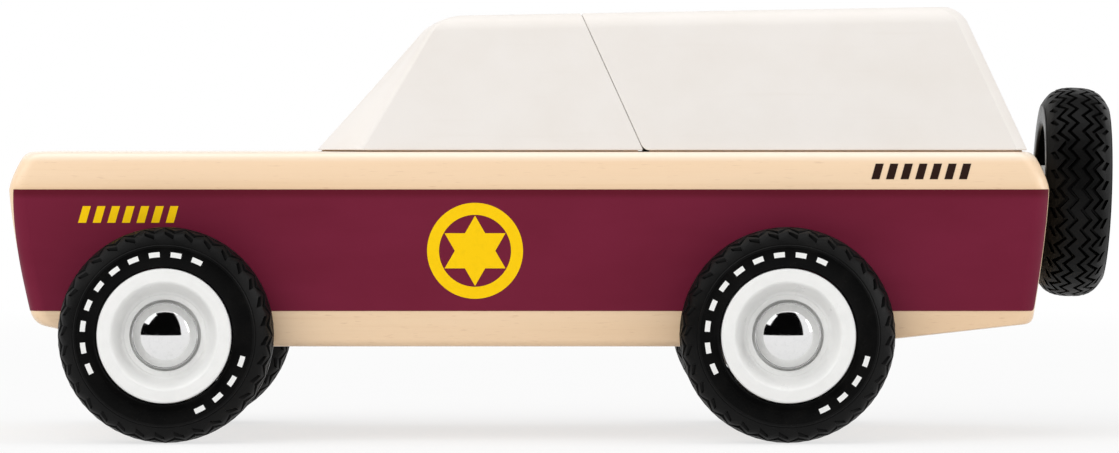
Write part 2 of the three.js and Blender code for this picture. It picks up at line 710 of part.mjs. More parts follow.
function magnets(prefix, foot) {
  return ['front', 'rear'].map((place, k) => {
    const disc = uprightBar(MAGNET_RADIUS, MAGNET_PLACES[k], 0, foot, foot + MAGNET_HEIGHT);
    return piece(`${prefix}_magnet_${place}`, disc, steel());
  });
}

function hardtop() {
  const group = new THREE.Group();
  const foot = CAB_FOOT_Z + MAGNET_INSET;
  const cuts = magnetPockets(CAB_FOOT_Z - CUT_OVERLAP, foot + MAGNET_HEIGHT + PRESS_GAP);
  const hull = skin(roofedLevels(hardtopLevel), false);
  group.add(piece('hardtop_block', shaped(hull, { cuts }), whitePaint()));
  group.add(...magnets('hardtop', foot));
  return group;
}

// Whole car

const car = new THREE.Group();
car.add(bodyBlock(), cab(), hardtop(), spareWheel());
car.add(...magnets('deck', DECK_Z - MAGNET_INSET - MAGNET_HEIGHT));
for (const [prefix, axleX] of [['front', FRONT_AXLE_X], ['rear', REAR_AXLE_X]]) {
  car.add(carrier(`${prefix}_axle_carrier`, axleX), ...carrierScrews(prefix, axleX));
  car.add(wheelset(prefix, axleX));
}

// The origin lies on the ground, halfway along the overall length.
const reach = new THREE.Box3().setFromObject(car, true);
car.position.set(-(reach.min.x + reach.max.x) / 2, 0, -reach.min.z);

export default car;
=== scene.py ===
import json
import math
from collections import namedtuple

import bmesh
import bpy
from bpy.props import FloatProperty, FloatVectorProperty, IntProperty, PointerProperty
from mathutils import Matrix, Vector


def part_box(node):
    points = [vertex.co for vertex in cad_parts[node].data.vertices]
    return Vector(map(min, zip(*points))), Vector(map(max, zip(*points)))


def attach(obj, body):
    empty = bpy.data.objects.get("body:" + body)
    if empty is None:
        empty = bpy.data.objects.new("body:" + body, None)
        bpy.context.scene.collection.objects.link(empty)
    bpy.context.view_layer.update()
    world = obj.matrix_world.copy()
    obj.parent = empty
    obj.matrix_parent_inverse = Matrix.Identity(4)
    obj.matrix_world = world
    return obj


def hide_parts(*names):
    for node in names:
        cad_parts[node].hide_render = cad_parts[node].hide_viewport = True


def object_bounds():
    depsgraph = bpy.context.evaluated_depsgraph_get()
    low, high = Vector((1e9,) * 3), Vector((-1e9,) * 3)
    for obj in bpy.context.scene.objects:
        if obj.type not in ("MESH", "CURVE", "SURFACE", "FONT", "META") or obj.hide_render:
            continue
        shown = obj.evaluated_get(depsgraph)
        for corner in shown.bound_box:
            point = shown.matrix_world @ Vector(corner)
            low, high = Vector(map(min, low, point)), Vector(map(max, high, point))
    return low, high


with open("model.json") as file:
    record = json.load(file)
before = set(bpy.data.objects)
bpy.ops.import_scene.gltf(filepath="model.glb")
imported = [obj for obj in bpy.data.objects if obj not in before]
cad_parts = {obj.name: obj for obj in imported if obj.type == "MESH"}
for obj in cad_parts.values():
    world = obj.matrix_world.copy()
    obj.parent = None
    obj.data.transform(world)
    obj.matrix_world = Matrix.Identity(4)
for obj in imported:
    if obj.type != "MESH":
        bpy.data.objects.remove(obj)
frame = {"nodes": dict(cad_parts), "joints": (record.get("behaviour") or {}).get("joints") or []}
CAD_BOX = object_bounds()

bl_info = {
    "name": "Wooden Toy Car",
    "version": (1, 0, 0),
    "blender": (4, 5, 0),
    "location": "3D View > Sidebar > Toy Car",
    "description": "Builds a wooden toy off-road car over its construction model",
    "category": "Add Mesh",
}

MM = 0.001
WELD = 1e-7
QUARTER = math.pi / 2

# Angles in degrees above which an edge stays sharp, on most pieces and on the tyres
SHARP, TYRE_SHARP = 35, 30

# Steps round turned pieces
RIM_STEPS, CAP_STEPS, DISC_STEPS, BORE_STEPS, SCREW_STEPS = 128, 96, 64, 48, 32

# How far a cutter stands out of the surface that it cuts
CLEAR = 1 * MM

BODY_LOW, BODY_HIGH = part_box("body_block")
CAB_LOW, CAB_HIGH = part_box("cab_block")
HARDTOP_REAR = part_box("hardtop_block")[1].x
JOINTS = {joint["name"]: joint for joint in frame["joints"]}
ENDS = ("front", "rear")
AXLE_X = [JOINTS[f"{end}_axle_spin"]["pos_m"][0] for end in ENDS]
AXLE_Z = JOINTS["front_axle_spin"]["pos_m"][2]
WHEELS = ("front_left", "front_right", "rear_left", "rear_right", "spare")
WHEEL_BODIES = {"front": "front_wheels", "rear": "rear_wheels", "spare": "spare_wheel"}
SIDES = {"left": -1, "right": 1}


# Properties


def srgb(*channels):
    """A colour given in steps of 0 to 255, as linear values."""
    shares = [channel / 255 for channel in channels]
    return tuple(s / 12.92 if s <= 0.04045 else ((s + 0.055) / 1.055) ** 2.4 for s in shares)


def length(name, description, millimetres):
    return FloatProperty(
        name=name, description=description, default=millimetres * MM, precision=5, unit="LENGTH"
    )


def angle(name, description, degrees):
    return FloatProperty(
        name=name, description=description, default=math.radians(degrees), unit="ROTATION"
    )


def share(name, description, value):
    return FloatProperty(name=name, description=description, default=value, subtype="FACTOR")


def power(name, description, watts):
    return FloatProperty(name=name, description=description, default=watts, unit="POWER")


def count(name, description, value):
    return IntProperty(name=name, description=description, default=value)


def colour(name, description, *channels):
    return FloatVectorProperty(
        name=name,
        description=description,
        default=srgb(*channels),
        size=3,
        subtype="COLOR",
        min=0,
        max=1,
    )


class BodySizes(bpy.types.PropertyGroup):
    """Sizes of the beech body block"""

    shoulder_rise: length("Shoulder rise", "Height of the shoulder below the deck", 6.3)
    shoulder_run: length("Shoulder run", "How far the shoulder comes in at the deck", 3.8)
    flank_rise: length("Flank rise", "Height of the shoulder's leaning flank", 5)
    flank_run: length("Flank run", "How far that flank comes in", 1.9)
    bend_rise: length("Flank bend rise", "Height of the bend in the flank", 2.1)
    bend_run: length("Flank bend run", "How far the flank has come in at its bend", 0.32)
    corner: length("Corner", "Radius of the upright corners", 3)
    nose_rake: length("Nose rake", "How far the nose falls back down to the belly", 5)
    tail_rake: length("Tail rake", "How far the tail falls forward down to the belly", 3.5)
    rake_power: share("Rake power", "How the nose and tail curve away below the ridge", 1.35)
    belly_edge: length("Belly edge", "Radius of the long edges of the belly", 1.2)
    sweep_rise: length("Sweep rise", "Belly rising towards nose and tail", 3.8)
    front_lead: length("Front lead", "Start of the front rise, ahead of the front axle", 6)
    rear_lead: length("Rear lead", "Start of the rear rise, behind the rear axle", 7.4)
    nose_foot: length("Nose foot", "Rounded lower edge of the nose", 2.2)
    tail_foot: length("Tail foot", "Rounded lower edge of the tail", 1.3)
    seat_radius: length("Spare seat", "Radius of the flat seat for the spare's washer", 4.3)
    seat_depth: length("Spare seat depth", "Seat behind the middle plane of the spare", 6.7)
    fit: length("Fit", "Clearance round pieces let into the block", 0.2)
    mouth: length("Pocket mouth", "Eased mouth of the magnet pockets", 0.25)


class TrimSizes(bpy.types.PropertyGroup):
    """Sizes of the side paint, the badge and the printed dashes"""

    film: length("Paint film", "Paint standing on the wood", 0.06)
    ink: length("Ink film", "Print standing on the paint", 0.05)
    paint_foot: length("Paint foot", "Lower edge of the side paint above the ground", 21.8)
    paint_corner: length("Paint corner", "Radius of the paint's corners", 0.75)
    nose_margin: length("Nose margin", "Bare edge of wood at the top of the nose", 0.95)
    margin_end: length("Margin end", "Height where the bare edge at the nose ends", 25)
    tail_margin: length("Tail margin", "Bare edge of wood at the tail", 0.25)
    badge_x: length("Badge place", "Middle of the badge behind the nose", 78.43)
    badge_z: length("Badge height", "Middle of the badge above the ground", 31.9)
    ring_outside: length("Badge ring", "Outer radius of the badge", 8.05)
    ring_inside: length("Badge ring inside", "Inner radius of the badge's ring", 6.04)
    star_tip: length("Star tips", "Radius of the star's points", 5.9)
    star_notch: length("Star notches", "Radius between the star's points", 3.4)
    dash_count: count("Dashes", "Printed dashes in a row", 7)
    dash_width: length("Dash width", "Width of one printed dash", 1.35)
    dash_pitch: length("Dash pitch", "From one printed dash to the next", 2.45)
    dash_slant: length("Dash slant", "How far a printed dash leans along the car", 0.8)
    door_dash_x: length("Front dashes", "Start of the dashes on the paint behind the nose", 11.83)
    door_dash_foot: length("Front dash foot", "Lower edge of the dashes on the paint", 36.6)
    door_dash_top: length("Front dash top", "Upper edge of the dashes on the paint", 39.4)
    rail_dash_x: length("Rear dashes", "Start of the shoulder's dashes behind the nose", 144.93)
    rail_dash_foot: length("Rear dash foot", "Lower edge of the dashes on the shoulder", 43.9)
    rail_dash_top: length("Rear dash top", "Upper edge of the dashes on the shoulder", 46.5)


class CabSizes(bpy.types.PropertyGroup):
    """Sizes of the painted cab and hardtop"""

    height: length("Height", "Deck to roof over the windscreen's foot", 22.6)
    tumblehome: length("Tumblehome", "Each side leaning in between deck and roof", 3)
    windscreen_lean: angle("Windscreen lean", "Windscreen from upright", 42.3)
    foot_bow: length("Foot bow", "Windscreen bowing forward at its foot", 8)
    roof_bow: length("Roof bow", "Windscreen bowing forward at the roof", 1)
    seam_lean: angle("Seam lean", "Seam between cab and hardtop from upright", 25.2)
    seam_gap: length("Seam gap", "Gap between cab and hardtop along the car", 0.06)
    seam_corner: length("Seam corner", "Sanded edges of cab and hardtop along the seam", 0.3)
    rear_lean: angle("Rear lean", "Back of the hardtop from upright", 26.6)
    rear_facet: length("Rear facet", "Facets along the upright rear edges of the hardtop", 1.9)
    rear_power: share("Rear flatness", "How flat those facets are, 1 for round", 1.75)
    corner: length("Corner", "Upright edges of cab and hardtop", 0.8)
    roof_rise: share("Roof rise", "Roof climbing rearwards, per length", 0.018)
    roof_round: length("Roof round", "Rounding along the roof's edges", 2.6)
    brow_round: length("Brow round", "Longer rounding over the windscreen", 4)
    seat_gap: length("Seat gap", "Paint edge above the deck", 0.25)
    seat_line: length("Seat line", "Seat under cab and hardtop above the deck", 0.03)
    seat_inset: length("Seat inset", "Seat in from the edges of cab and hardtop", 0.9)
    foot_ease: length("Foot ease", "Sanded lower edge", 0.25)
    seam_ease: length("Seam ease", "Sanded roof edge at the seam", 0.35)
    heel: length("Heel", "Rounding of the hardtop's lower front corners", 0.9)


class TyreSizes(bpy.types.PropertyGroup):
    """Sizes of the tyres, across from the middle plane"""

    lugs: count("Lugs", "Zigzags and lugs round the tyre", 32)
    inner_groove: length("Inner groove", "Inner zigzag groove from the middle", 1.2)
    outer_groove: length("Outer groove", "Outer zigzag groove from the middle", 2.95)
    groove_width: length("Groove width", "Width of a groove at the tread", 0.75)
    groove_floor: length("Groove floor", "Width of a groove at its floor", 0.55)
    groove_depth: length("Groove depth", "Depth of the grooves", 0.95)
    zigzag: length("Zigzag", "Sideways swing of the grooves", 0.75)
    pocket_depth: length("Pocket depth", "Depth of the pockets in the shoulder", 0.7)
    pocket_start: length("Pocket start", "Inner edge of the pockets from the middle", 3.95)
    pocket_end: length("Pocket end", "Outer edge of the pockets from the middle", 4.6)
    pocket_slope: length("Pocket slope", "Width of the pockets' sloping walls", 0.1)
    pocket_swing: length("Pocket swing", "Sideways swing of the slanted pockets", 0.4)
    tread_half: length("Tread half", "Tread from the middle", 5.05)
    wall_half: length("Wall half", "Sidewall from the middle", 5.66)
    wall_edge: length("Wall edge", "Radius of the step round the sidewall", 15.1)
    bead: length("Bead", "Radius of the tyre's seat on the rim", 11.4)
    mark_count: count("Long row", "White dashes in the long row", 10)
    short_count: count("Short row", "White dashes in the short row", 4)
    mark_pitch: angle("Mark pitch", "From one white dash to the next", 15.3)
    mark_start: angle("Long row start", "Last dash of the long row, from the front", 66)
    short_start: angle("Short row start", "Last dash of the short row", -64)
    mark_foot: length("Mark foot", "Inner radius of the white dashes", 13.1)
    mark_top: length("Mark top", "Outer radius of the white dashes", 13.95)
    mark_width: length("Mark width", "Width of a white dash", 1.8)
    mark_film: length("Mark film", "White dashes standing on the sidewall", 0.04)


class RimSizes(bpy.types.PropertyGroup):
    """Sizes of the rims and hub caps, out from the tyre's middle plane"""

    radius: length("Rim radius", "Outer radius of the rim", 11.2)
    face: length("Face", "Outer face of the rim", 5.6)
    hub_back: length("Hub back", "Inner end of the hub", 5.3)
    barrel_back: length("Barrel back", "Inner edge of the barrel", 3.4)
    wall: length("Wall", "Thickness of the moulding", 1.6)
    edge: length("Edge", "Rounded edge of the face", 0.4)
    ring_inside: length("Ring inside", "Inner radius of the flat face ring", 9.2)
    ledge: length("Ledge", "Outer radius of the ledge round the cap", 7.0)
    step: length("Step", "Small step down to that ledge", 0.2)
    groove: length("Groove", "Outer radius of the groove round the cap", 5.95)
    groove_depth: length("Groove depth", "Depth of that groove", 0.9)
    dish_depth: length("Dish depth", "Ledge behind the face", 3.4)
    hub: length("Hub", "Outer radius of the hub tube", 4.4)
    pocket: length("Pocket", "Radius of the hub pocket", 3.2)
    pocket_depth: length("Pocket depth", "Depth of the hub pocket", 3)
    bore: length("Bore", "Radius of the axle's hole", 1.45)
    cap_radius: length("Cap radius", "Outer radius of the hub cap", 5.5)
    cap_height: length("Cap height", "Height of the hub cap", 3.2)
    cap_lip: length("Cap lip", "Width of the lip round the dome", 0.12)
    cap_lip_height: length("Cap lip height", "Height of that lip", 0.5)
    cap_stem: length("Cap stem", "Stem in the hub pocket", 1)
    fit: length("Fit", "Clearance of the cap in the rim", 0.2)


class HardwareSizes(bpy.types.PropertyGroup):
    """Sizes of magnets, axle carriers, screws and washer"""

    magnet_edge: length("Magnet edge", "Eased edge of a magnet", 0.3)
    carrier_edge: length("Carrier edge", "Rounded edges of the carriers", 0.35)
    boss: length("Boss", "Radius of a carrier's boss", 2.05)
    bore: length("Bore", "Radius of the axle's hole in a carrier", 1.5)
    sink: length("Sink", "Countersink wider than the screw's head", 0.2)
    screw_shank: length("Screw shank", "Radius of the carrier screws", 0.9)
    screw_cone: length("Screw cone", "Height of the countersunk head", 1)
    screw_point: length("Screw point", "Length of the tapered point", 2)
    thread: length("Thread", "Depth of the screw's thread", 0.18)
    thread_pitch: length("Thread pitch", "Pitch of the screw's thread", 0.9)
    slot_turn: angle("Cross turn", "Turn of a screw's cross from the car's length", 20)
    slot_width: length("Slot width", "Width of the cross in the head", 0.5)
    slot_reach: share("Slot reach", "Reach of the cross, as a share of the head", 0.7)
    slot_depth: length("Slot depth", "Depth of the cross in the head", 0.55)
    washer: length("Washer", "Radius of the spare's washer", 4)
    washer_bore: length("Washer bore", "Radius of the washer's hole", 1.55)
    washer_face: length("Washer face", "Washer behind the middle plane of the spare", 5.6)
    washer_thick: length("Washer thickness", "Thickness of the washer", 0.8)


class FinishColours(bpy.types.PropertyGroup):
    """Colours of the finishes"""

    beech: colour("Beech", "Pale beech under clear lacquer", 245, 214, 177)
    beech_dark: colour("Beech streaks", "Darker streaks in the beech", 234, 196, 153)
    beech_fleck: colour("Beech flecks", "Short flecks in the beech", 196, 150, 108)
    # Beech deck colour: a painted highlight, paler beech over the lit top of the shoulder and the
    # deck
    beech_painted_highlight: colour("Beech deck", "Paler wood along the sanded edge of the deck", 251, 237, 219)
    red: colour("Side paint", "Deep red of the side panels", 117, 31, 56)
    # Side paint edge colour: the darker red of the paint's random clouds, and also painted shade
    # along its upper edge below the ridge
    red_cloud_and_shade: colour("Side paint edge", "Thicker paint along the upper edge", 96, 18, 36)
    white: colour("White paint", "Warm white of cab and hardtop", 238, 233, 228)
    white_shade: colour("White paint shade", "Thinner white paint", 229, 222, 214)
    yellow: colour("Yellow print", "Badge and front dashes", 255, 208, 4)
    black: colour("Black print", "Dashes on the shoulder", 44, 26, 20)
    mark: colour("White print", "Dashes on the tyres", 240, 240, 238)
    rubber: colour("Rubber", "Tyres", 9, 9, 9)
    rubber_dust: colour("Rubber bloom", "Greyer bloom on the rubber", 23, 22, 21)
    plastic: colour("White plastic", "Rims", 243, 243, 241)
    chrome: colour("Plating", "Hub caps", 232, 232, 232)
    zinc: colour("Zinc", "Axles and screws", 176, 178, 180)
    nickel: colour("Nickel", "Magnets", 190, 188, 184)
    nylon: colour("Nylon", "Axle carriers and washer", 38, 38, 40)
    floor: colour("Floor", "Studio floor", 236, 236, 236)


class StageSizes(bpy.types.PropertyGroup):
    """Camera and studio"""

    distance: length("Camera distance", "Camera from the car's middle plane", 1000)
    height: length("Camera height", "Camera above the floor", 52)
    offset: length("Camera offset", "Camera behind the nose", 92.6)
    tilt: angle("Camera tilt", "Camera looking down", 0.944)
    lens: FloatProperty(name="Lens", description="Focal length", default=186.5, unit="CAMERA")
    floor_half: length("Floor", "Half the side of the floor", 6000)
    card_distance: length("Card distance", "Dark card in front of the car", 2000)
    card_left: length("Card left", "Left edge of the dark card", -14000)
    card_right: length("Card right", "Right edge of the dark card", 2000)
    card_top: length("Card top", "Upper edge of the dark cards", 14000)
    card_raise: length("Far card", "Lower edge of the dark card beyond the car", 1700)
    fill: share("Fill", "Light from all round", 0.57)
    top_power: power("Top light", "Power of the light overhead", 4.0)
    front_power: power("Front light", "Power of the light in front", 7.6)
    nose_power: power("Nose light", "Power of the light ahead", 3.3)
    tail_power: power("Tail light", "Power of the light behind", 5.2)


class ToyCarSettings(bpy.types.PropertyGroup):
    """All sizes and colours of the toy car"""

    body: PointerProperty(type=BodySizes)
    trim: PointerProperty(type=TrimSizes)
    cab: PointerProperty(type=CabSizes)
    tyre: PointerProperty(type=TyreSizes)
    rim: PointerProperty(type=RimSizes)
    hardware: PointerProperty(type=HardwareSizes)
    colours: PointerProperty(type=FinishColours)
    stage: PointerProperty(type=StageSizes)


# Mesh helpers


def lerp(first, second, part):
    return first + (second - first) * part


def bent(first, corner, last, part):
    """A point on the curve that leaves first towards corner and arrives at last."""
    return lerp(lerp(first, corner, part), lerp(corner, last, part), part)


def bent_part(first, corner, last, value):
    """The part of such a curve at which one of its coordinates has the given value."""
    rise = value - first
    climb = corner - first
    return rise / (climb + math.sqrt(climb**2 + (last - 2 * corner + first) * rise))


def steps_between(first, second, count):
    """Evenly spaced values from first to second, both included."""
    return [lerp(first, second, step / count) for step in range(count + 1)]


def quarter_round(radius, count):
    """Pairs over a quarter round: how far it has come along, and how far it still has to go in."""
    turns = steps_between(0.0, QUARTER, count)
    return [(radius * (1 - math.cos(turn)), radius * (1 - math.sin(turn))) for turn in turns]


def round_point(radius, across, turn):
    """A point at a turn about the Y axis."""
    return Vector((radius * math.cos(turn), across, radius * math.sin(turn)))


def new_piece(name, points, faces, finish, sharp=SHARP):
    """A mesh piece with welded points, faces turned out and smooth shading between sharp edges."""
    mesh = bpy.data.meshes.new(name)
    mesh.from_pydata([tuple(point) for point in points], [], faces)
    shell = bmesh.new()
    shell.from_mesh(mesh)
    bmesh.ops.remove_doubles(shell, verts=shell.verts, dist=WELD)
    bmesh.ops.recalc_face_normals(shell, faces=shell.faces)
    shell.to_mesh(mesh)
    shell.free()
    mesh.materials.append(finish)
    piece = bpy.data.objects.new(name, mesh)
    bpy.context.scene.collection.objects.link(piece)
    shade(piece, sharp)
    return piece


def shade(piece, sharp=SHARP):
    piece.data.shade_smooth()
    piece.data.set_sharp_from_angle(angle=math.radians(sharp))


def even_normals(piece):
    """Keeps flat faces flat beside rounded edges."""
    modifier = piece.modifiers.new("even_normals", "WEIGHTED_NORMAL")
    modifier.keep_sharp = True


def skin_faces(ring_count, ring_size, is_loop, is_ladder=False):
    """Faces between rings of points: round a loop of rings, or along a stack with closed ends.

    The ends are single faces, or ladders of faces between the two long edges of each end ring.
    """
    faces = []
    bands = ring_count if is_loop else ring_count - 1
    for ring in range(bands):
        first = ring * ring_size
        second = (ring + 1) % ring_count * ring_size
        for step in range(ring_size):
            after = (step + 1) % ring_size
            faces.append((first + step, first + after, second + after, second + step))
    if is_loop:
        return faces
    for end in (0, (ring_count - 1) * ring_size):
        if is_ladder:
            last = end + ring_size - 1
            rungs = range(ring_size // 2 - 1)
            faces += [(end + rung, end + rung + 1, last - rung - 1, last - rung) for rung in rungs]
        else:
            faces.append(tuple(range(end, end + ring_size)))
    return faces


def stacked(name, rings, finish):
    points = [point for ring in rings for point in ring]
    return new_piece(name, points, skin_faces(len(rings), len(rings[0]), False), finish)


def turned(name, profile, steps, place, finish):
    """A piece turned about its own Y axis from (radius, height) pairs, then set in its place."""
    turns = [2 * math.pi * step / steps for step in range(steps)]
    points = [place @ round_point(*pair, turn) for turn in turns for pair in profile]
    return new_piece(name, points, skin_faces(steps, len(profile), True), finish)


def rod(radius, low, high):
    """Section of a plain rod."""
    return [(0.0, low), (radius, low), (radius, high), (0.0, high)]


def disc(bore, radius, low, high, edge):
    """Section of a disc with eased edges, and with a hole where bore is above zero."""
    face = radius - edge
    rising = [(bore, low), (face, low), (radius, low + edge)]
    return rising + [(radius, high - edge), (face, high), (bore, high)]


def box_piece(name, low, high, finish):
    level = ((low[0], low[1]), (high[0], low[1]), (high[0], high[1]), (low[0], high[1]))
    corners = [(x, y, z) for z in (low[2], high[2]) for x, y in level]
    return new_piece(name, corners, skin_faces(2, 4, False), finish)


def combine(piece, tools, operation):
    """Cuts or joins the tools into the piece, and removes them."""
    for tool in tools:
        modifier = piece.modifiers.new(tool.name, "BOOLEAN")
        modifier.operation = operation
        modifier.solver = "EXACT"
        modifier.object = tool
    graph = bpy.context.evaluated_depsgraph_get()
    mesh = bpy.data.meshes.new_from_object(piece.evaluated_get(graph))
    piece.modifiers.clear()
    piece.data = mesh
    for tool in tools:
        bpy.data.objects.remove(tool)
    shade(piece)


def dress(piece, body, slot, *nodes):
    """Sets a piece on its body and hides the nodes that it stands for; the slot is not used."""
    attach(piece, body)
    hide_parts(*nodes)


def round_node(node):
    """Foot, top, radius and place of an upright round node. The place has its own Y axis up."""
    low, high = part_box(node)
    centre = (low + high) / 2
    place = Matrix.Translation((centre.x, centre.y, 0.0)) @ Matrix.Rotation(QUARTER, 4, "X")
    return low.z, high.z, (high.x - low.x) / 2, place


def wheel_place(wheel):
    """A wheel's place: its middle plane at zero and its outer face towards its own +Y."""
    if wheel == "spare":
        joint = JOINTS["spare_spin"]
        turn = Vector((0, 1, 0)).rotation_difference(Vector(joint["axis"]))
        return Matrix.Translation(joint["pos_m"]) @ turn.to_matrix().to_4x4()
    low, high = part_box(f"{wheel}_tyre")
    turn = math.pi if wheel.endswith("left") else 0.0
    return Matrix.Translation((low + high) / 2) @ Matrix.Rotation(turn, 4, "Z")


def wheel_body(wheel):
    return WHEEL_BODIES[wheel.split("_")[0]]


# Finishes

# Noise through a piece's own space: cells in mm along X, Y and Z, their detail and its roughness
Noise = namedtuple("Noise", "cell detail roughness", defaults=(3, 0.55))

# A layer of colour: nothing where its source has the first value, and full cover at the last.
# The source is a noise, or HEIGHT for the piece's own Z in metres.
Layer = namedtuple("Layer", "colour cover source first last")
HEIGHT = "Z"

# Roughness from low to high, where a noise goes from first to last
Rough = namedtuple("Rough", "source low high first last", defaults=(0.3, 0.7))

# Painted highlight: bands in mm below the deck over which the beech turns paler where the top
# light falls on the shoulder and the deck, each with its cover
PAINTED_HIGHLIGHT_BANDS = ((6.3, 4.5, 0.14), (1.7, 0.5, 0.85))

# Painted shade: band in mm below the ridge over which the side paint darkens
PAINTED_SHADE_BAND = (1.6, 0.7)

# Half the height in mm over which white paint ends above the bare seat
SEAT_FADE = 0.02

# Sockets of a mix node that blends colours
MIX_PART, MIX_FIRST, MIX_SECOND, MIX_RESULT = 0, 6, 7, 2
WHITE = (1, 1, 1, 1)


def add_node(tree, kind, inputs=None, **options):
    """Adds a shader node, sets its options and fills its inputs with values or other outputs."""
    node = tree.nodes.new(kind)
    for name, value in options.items():
        setattr(node, name, value)
    for name, value in (inputs or {}).items():
        if isinstance(value, bpy.types.NodeSocket):
            tree.links.new(value, node.inputs[name])
        else:
            node.inputs[name].default_value = value
    return node


def own_place(tree):
    return add_node(tree, "ShaderNodeTexCoord").outputs["Object"]


def source_value(tree, source):
    """The output of a noise, or the piece's own coordinate along an axis."""
    if not isinstance(source, Noise):
        return add_node(tree, "ShaderNodeSeparateXYZ", {"Vector": own_place(tree)}).outputs[source]
    scale = tuple(1 / (side * MM) for side in source.cell)
    spread = add_node(tree, "ShaderNodeMapping", {"Vector": own_place(tree), "Scale": scale})
    inputs = {
        "Vector": spread.outputs["Vector"],
        "Scale": 1.0,
        "Detail": source.detail,
        "Roughness": source.roughness,
    }
    return add_node(tree, "ShaderNodeTexNoise", inputs).outputs[0]


def fitted(tree, value, first, last, low, high):
    """Maps a value from first..last to low..high, and stops at both."""
    inputs = {"Value": value, "From Min": first, "From Max": last, "To Min": low, "To Max": high}
    return add_node(tree, "ShaderNodeMapRange", inputs).outputs["Result"]


def blended(tree, part, first, second):
    """A colour between two colours or colour outputs."""
    inputs = {MIX_PART: part, MIX_FIRST: first, MIX_SECOND: second}
    return add_node(tree, "ShaderNodeMix", inputs, data_type="RGBA").outputs[MIX_RESULT]


def new_finish(name):
    material = bpy.data.materials.new(name)
    material.use_nodes = True
    return material


def layered(name, base, layers, rough, relief=None, **constants):
    """A finish of layers over a base colour, made when it is first asked for.

    The relief is a noise and its height in mm, and the constants are set on the shader's sockets.
    """
    material = bpy.data.materials.get(name)
    if material:
        return material
    material = new_finish(name)
    tree = material.node_tree
    sources = [*(layer.source for layer in layers), rough.source, *(relief or ())[:1]]
    values = {source: source_value(tree, source) for source in dict.fromkeys(sources)}
    surface = (*base, 1)
    for layer in layers:
        part = fitted(tree, values[layer.source], layer.first, layer.last, 0.0, layer.cover)
        surface = blended(tree, part, surface, (*layer.colour, 1))
    gloss = fitted(tree, values[rough.source], rough.first, rough.last, rough.low, rough.high)
    wires = {"Base Color": surface, "Roughness": gloss}
    if relief:
        noise, height = relief
        inputs = {"Height": values[noise], "Distance": height * MM, "Strength": 1.0}
        wires["Normal"] = add_node(tree, "ShaderNodeBump", inputs).outputs["Normal"]
    shader = tree.nodes["Principled BSDF"]
    for socket, output in wires.items():
        tree.links.new(output, shader.inputs[socket])
    for socket, value in constants.items():
        shader.inputs[socket.replace("_", " ")].default_value = value
    return material


def darker(base, part):
    return tuple(part * channel for channel in base)


def beech(colours):
    """Lacquered beech: broad tones and fine fibres along the car, short flecks, and a painted
    highlight that pales the shoulder's top and the deck.
    """
    fibre = Noise((34, 0.7, 0.7), 4, 0.65)
    layers = [
        Layer(colours.beech_dark, 0.55, Noise((160, 11, 11), 2), 0.4, 0.72),
        Layer(colours.beech_dark, 0.5, fibre, 0.5, 0.8),
        Layer(colours.beech_fleck, 0.3, Noise((2.4, 0.26, 0.26), 1), 0.66, 0.78),
    ]
    # Painted highlight: paler beech where the top light falls on the shoulder and the deck
    for first, last, cover in PAINTED_HIGHLIGHT_BANDS:
        painted_light_band = (BODY_HIGH.z - first * MM, BODY_HIGH.z - last * MM)
        layers.append(Layer(colours.beech_painted_highlight, cover, HEIGHT, *painted_light_band))
    lacquer = {"Coat_Weight": 0.6, "Coat_Roughness": 0.2}
    rough = Rough(fibre, 0.36, 0.5)
    return layered("lacquered_beech", colours.beech, layers, rough, (fibre, 0.03), **lacquer)


def red_paint(colours, ridge):
    """Satin deep red over wood: slight clouds, fibres showing through, and painted shade darkening
    its upper edge below the ridge.
    """
    cloud = Noise((22, 9, 9))
    relief = (Noise((26, 0.8, 0.8), 4, 0.6), 0.02)
    # Painted shade: darker red along the paint's upper edge below the ridge
    painted_light_band = [ridge - below * MM for below in PAINTED_SHADE_BAND]
    layers = (
        Layer(colours.red_cloud_and_shade, 0.3, cloud, 0.35, 0.75),
        Layer(colours.red_cloud_and_shade, 0.85, HEIGHT, *painted_light_band),
    )
    rough = Rough(cloud, 0.4, 0.52)
    return layered("red_side_paint", colours.red, layers, rough, relief, Specular_IOR_Level=0.1)


def white_paint(colours, sill):
    """Sprayed satin white on wood, with faint clouds and a fine orange peel, over a bare seat."""
    cloud = Noise((16, 12, 12))
    relief = (Noise((0.7, 0.7, 0.7), 2), 0.012)
    layers = (
        Layer(colours.white_shade, 0.45, cloud, 0.4, 0.75),
        Layer(colours.white_shade, 0.3, Noise((30, 1.1, 1.1)), 0.6, 0.85),
        Layer(colours.beech_dark, 1.0, HEIGHT, sill + SEAT_FADE * MM, sill - SEAT_FADE * MM),
    )
    rough = Rough(cloud, 0.4, 0.5)
    return layered("white_cab_paint", colours.white, layers, rough, relief, Specular_IOR_Level=0.2)


def rubber(name, colours, low, high, gloss):
    """Soft moulded rubber with a faint grey bloom."""
    bloom = Noise((5, 5, 5), 4, 0.6)
    grain = Noise((0.22, 0.22, 0.22), 2)
    layers = (Layer(colours.rubber_dust, 0.6, bloom, 0.45, 0.8),)
    rough = Rough(bloom, low, high)
    return layered(name, colours.rubber, layers, rough, (grain, 0.02), Specular_IOR_Level=gloss)


def plastic(name, base, low, high):
    """Moulded plastic with faint flow marks and a fine mould texture."""
    flow = Noise((4, 4, 4))
    grain = Noise((0.3, 0.3, 0.3), 2)
    layers = (Layer(darker(base, 0.9), 0.6, flow, 0.45, 0.8),)
    return layered(name, base, layers, Rough(flow, low, high), (grain, 0.006))


def metal(name, base, low, high, cell):
    """Bare or plated metal with fine scuffs in its polish."""
    scuff = Noise(cell, 5, 0.7)
    layers = (Layer(darker(base, 0.86), 0.6, scuff, 0.5, 0.8),)
    return layered(name, base, layers, Rough(scuff, low, high, 0.35, 0.75), Metallic=1.0)


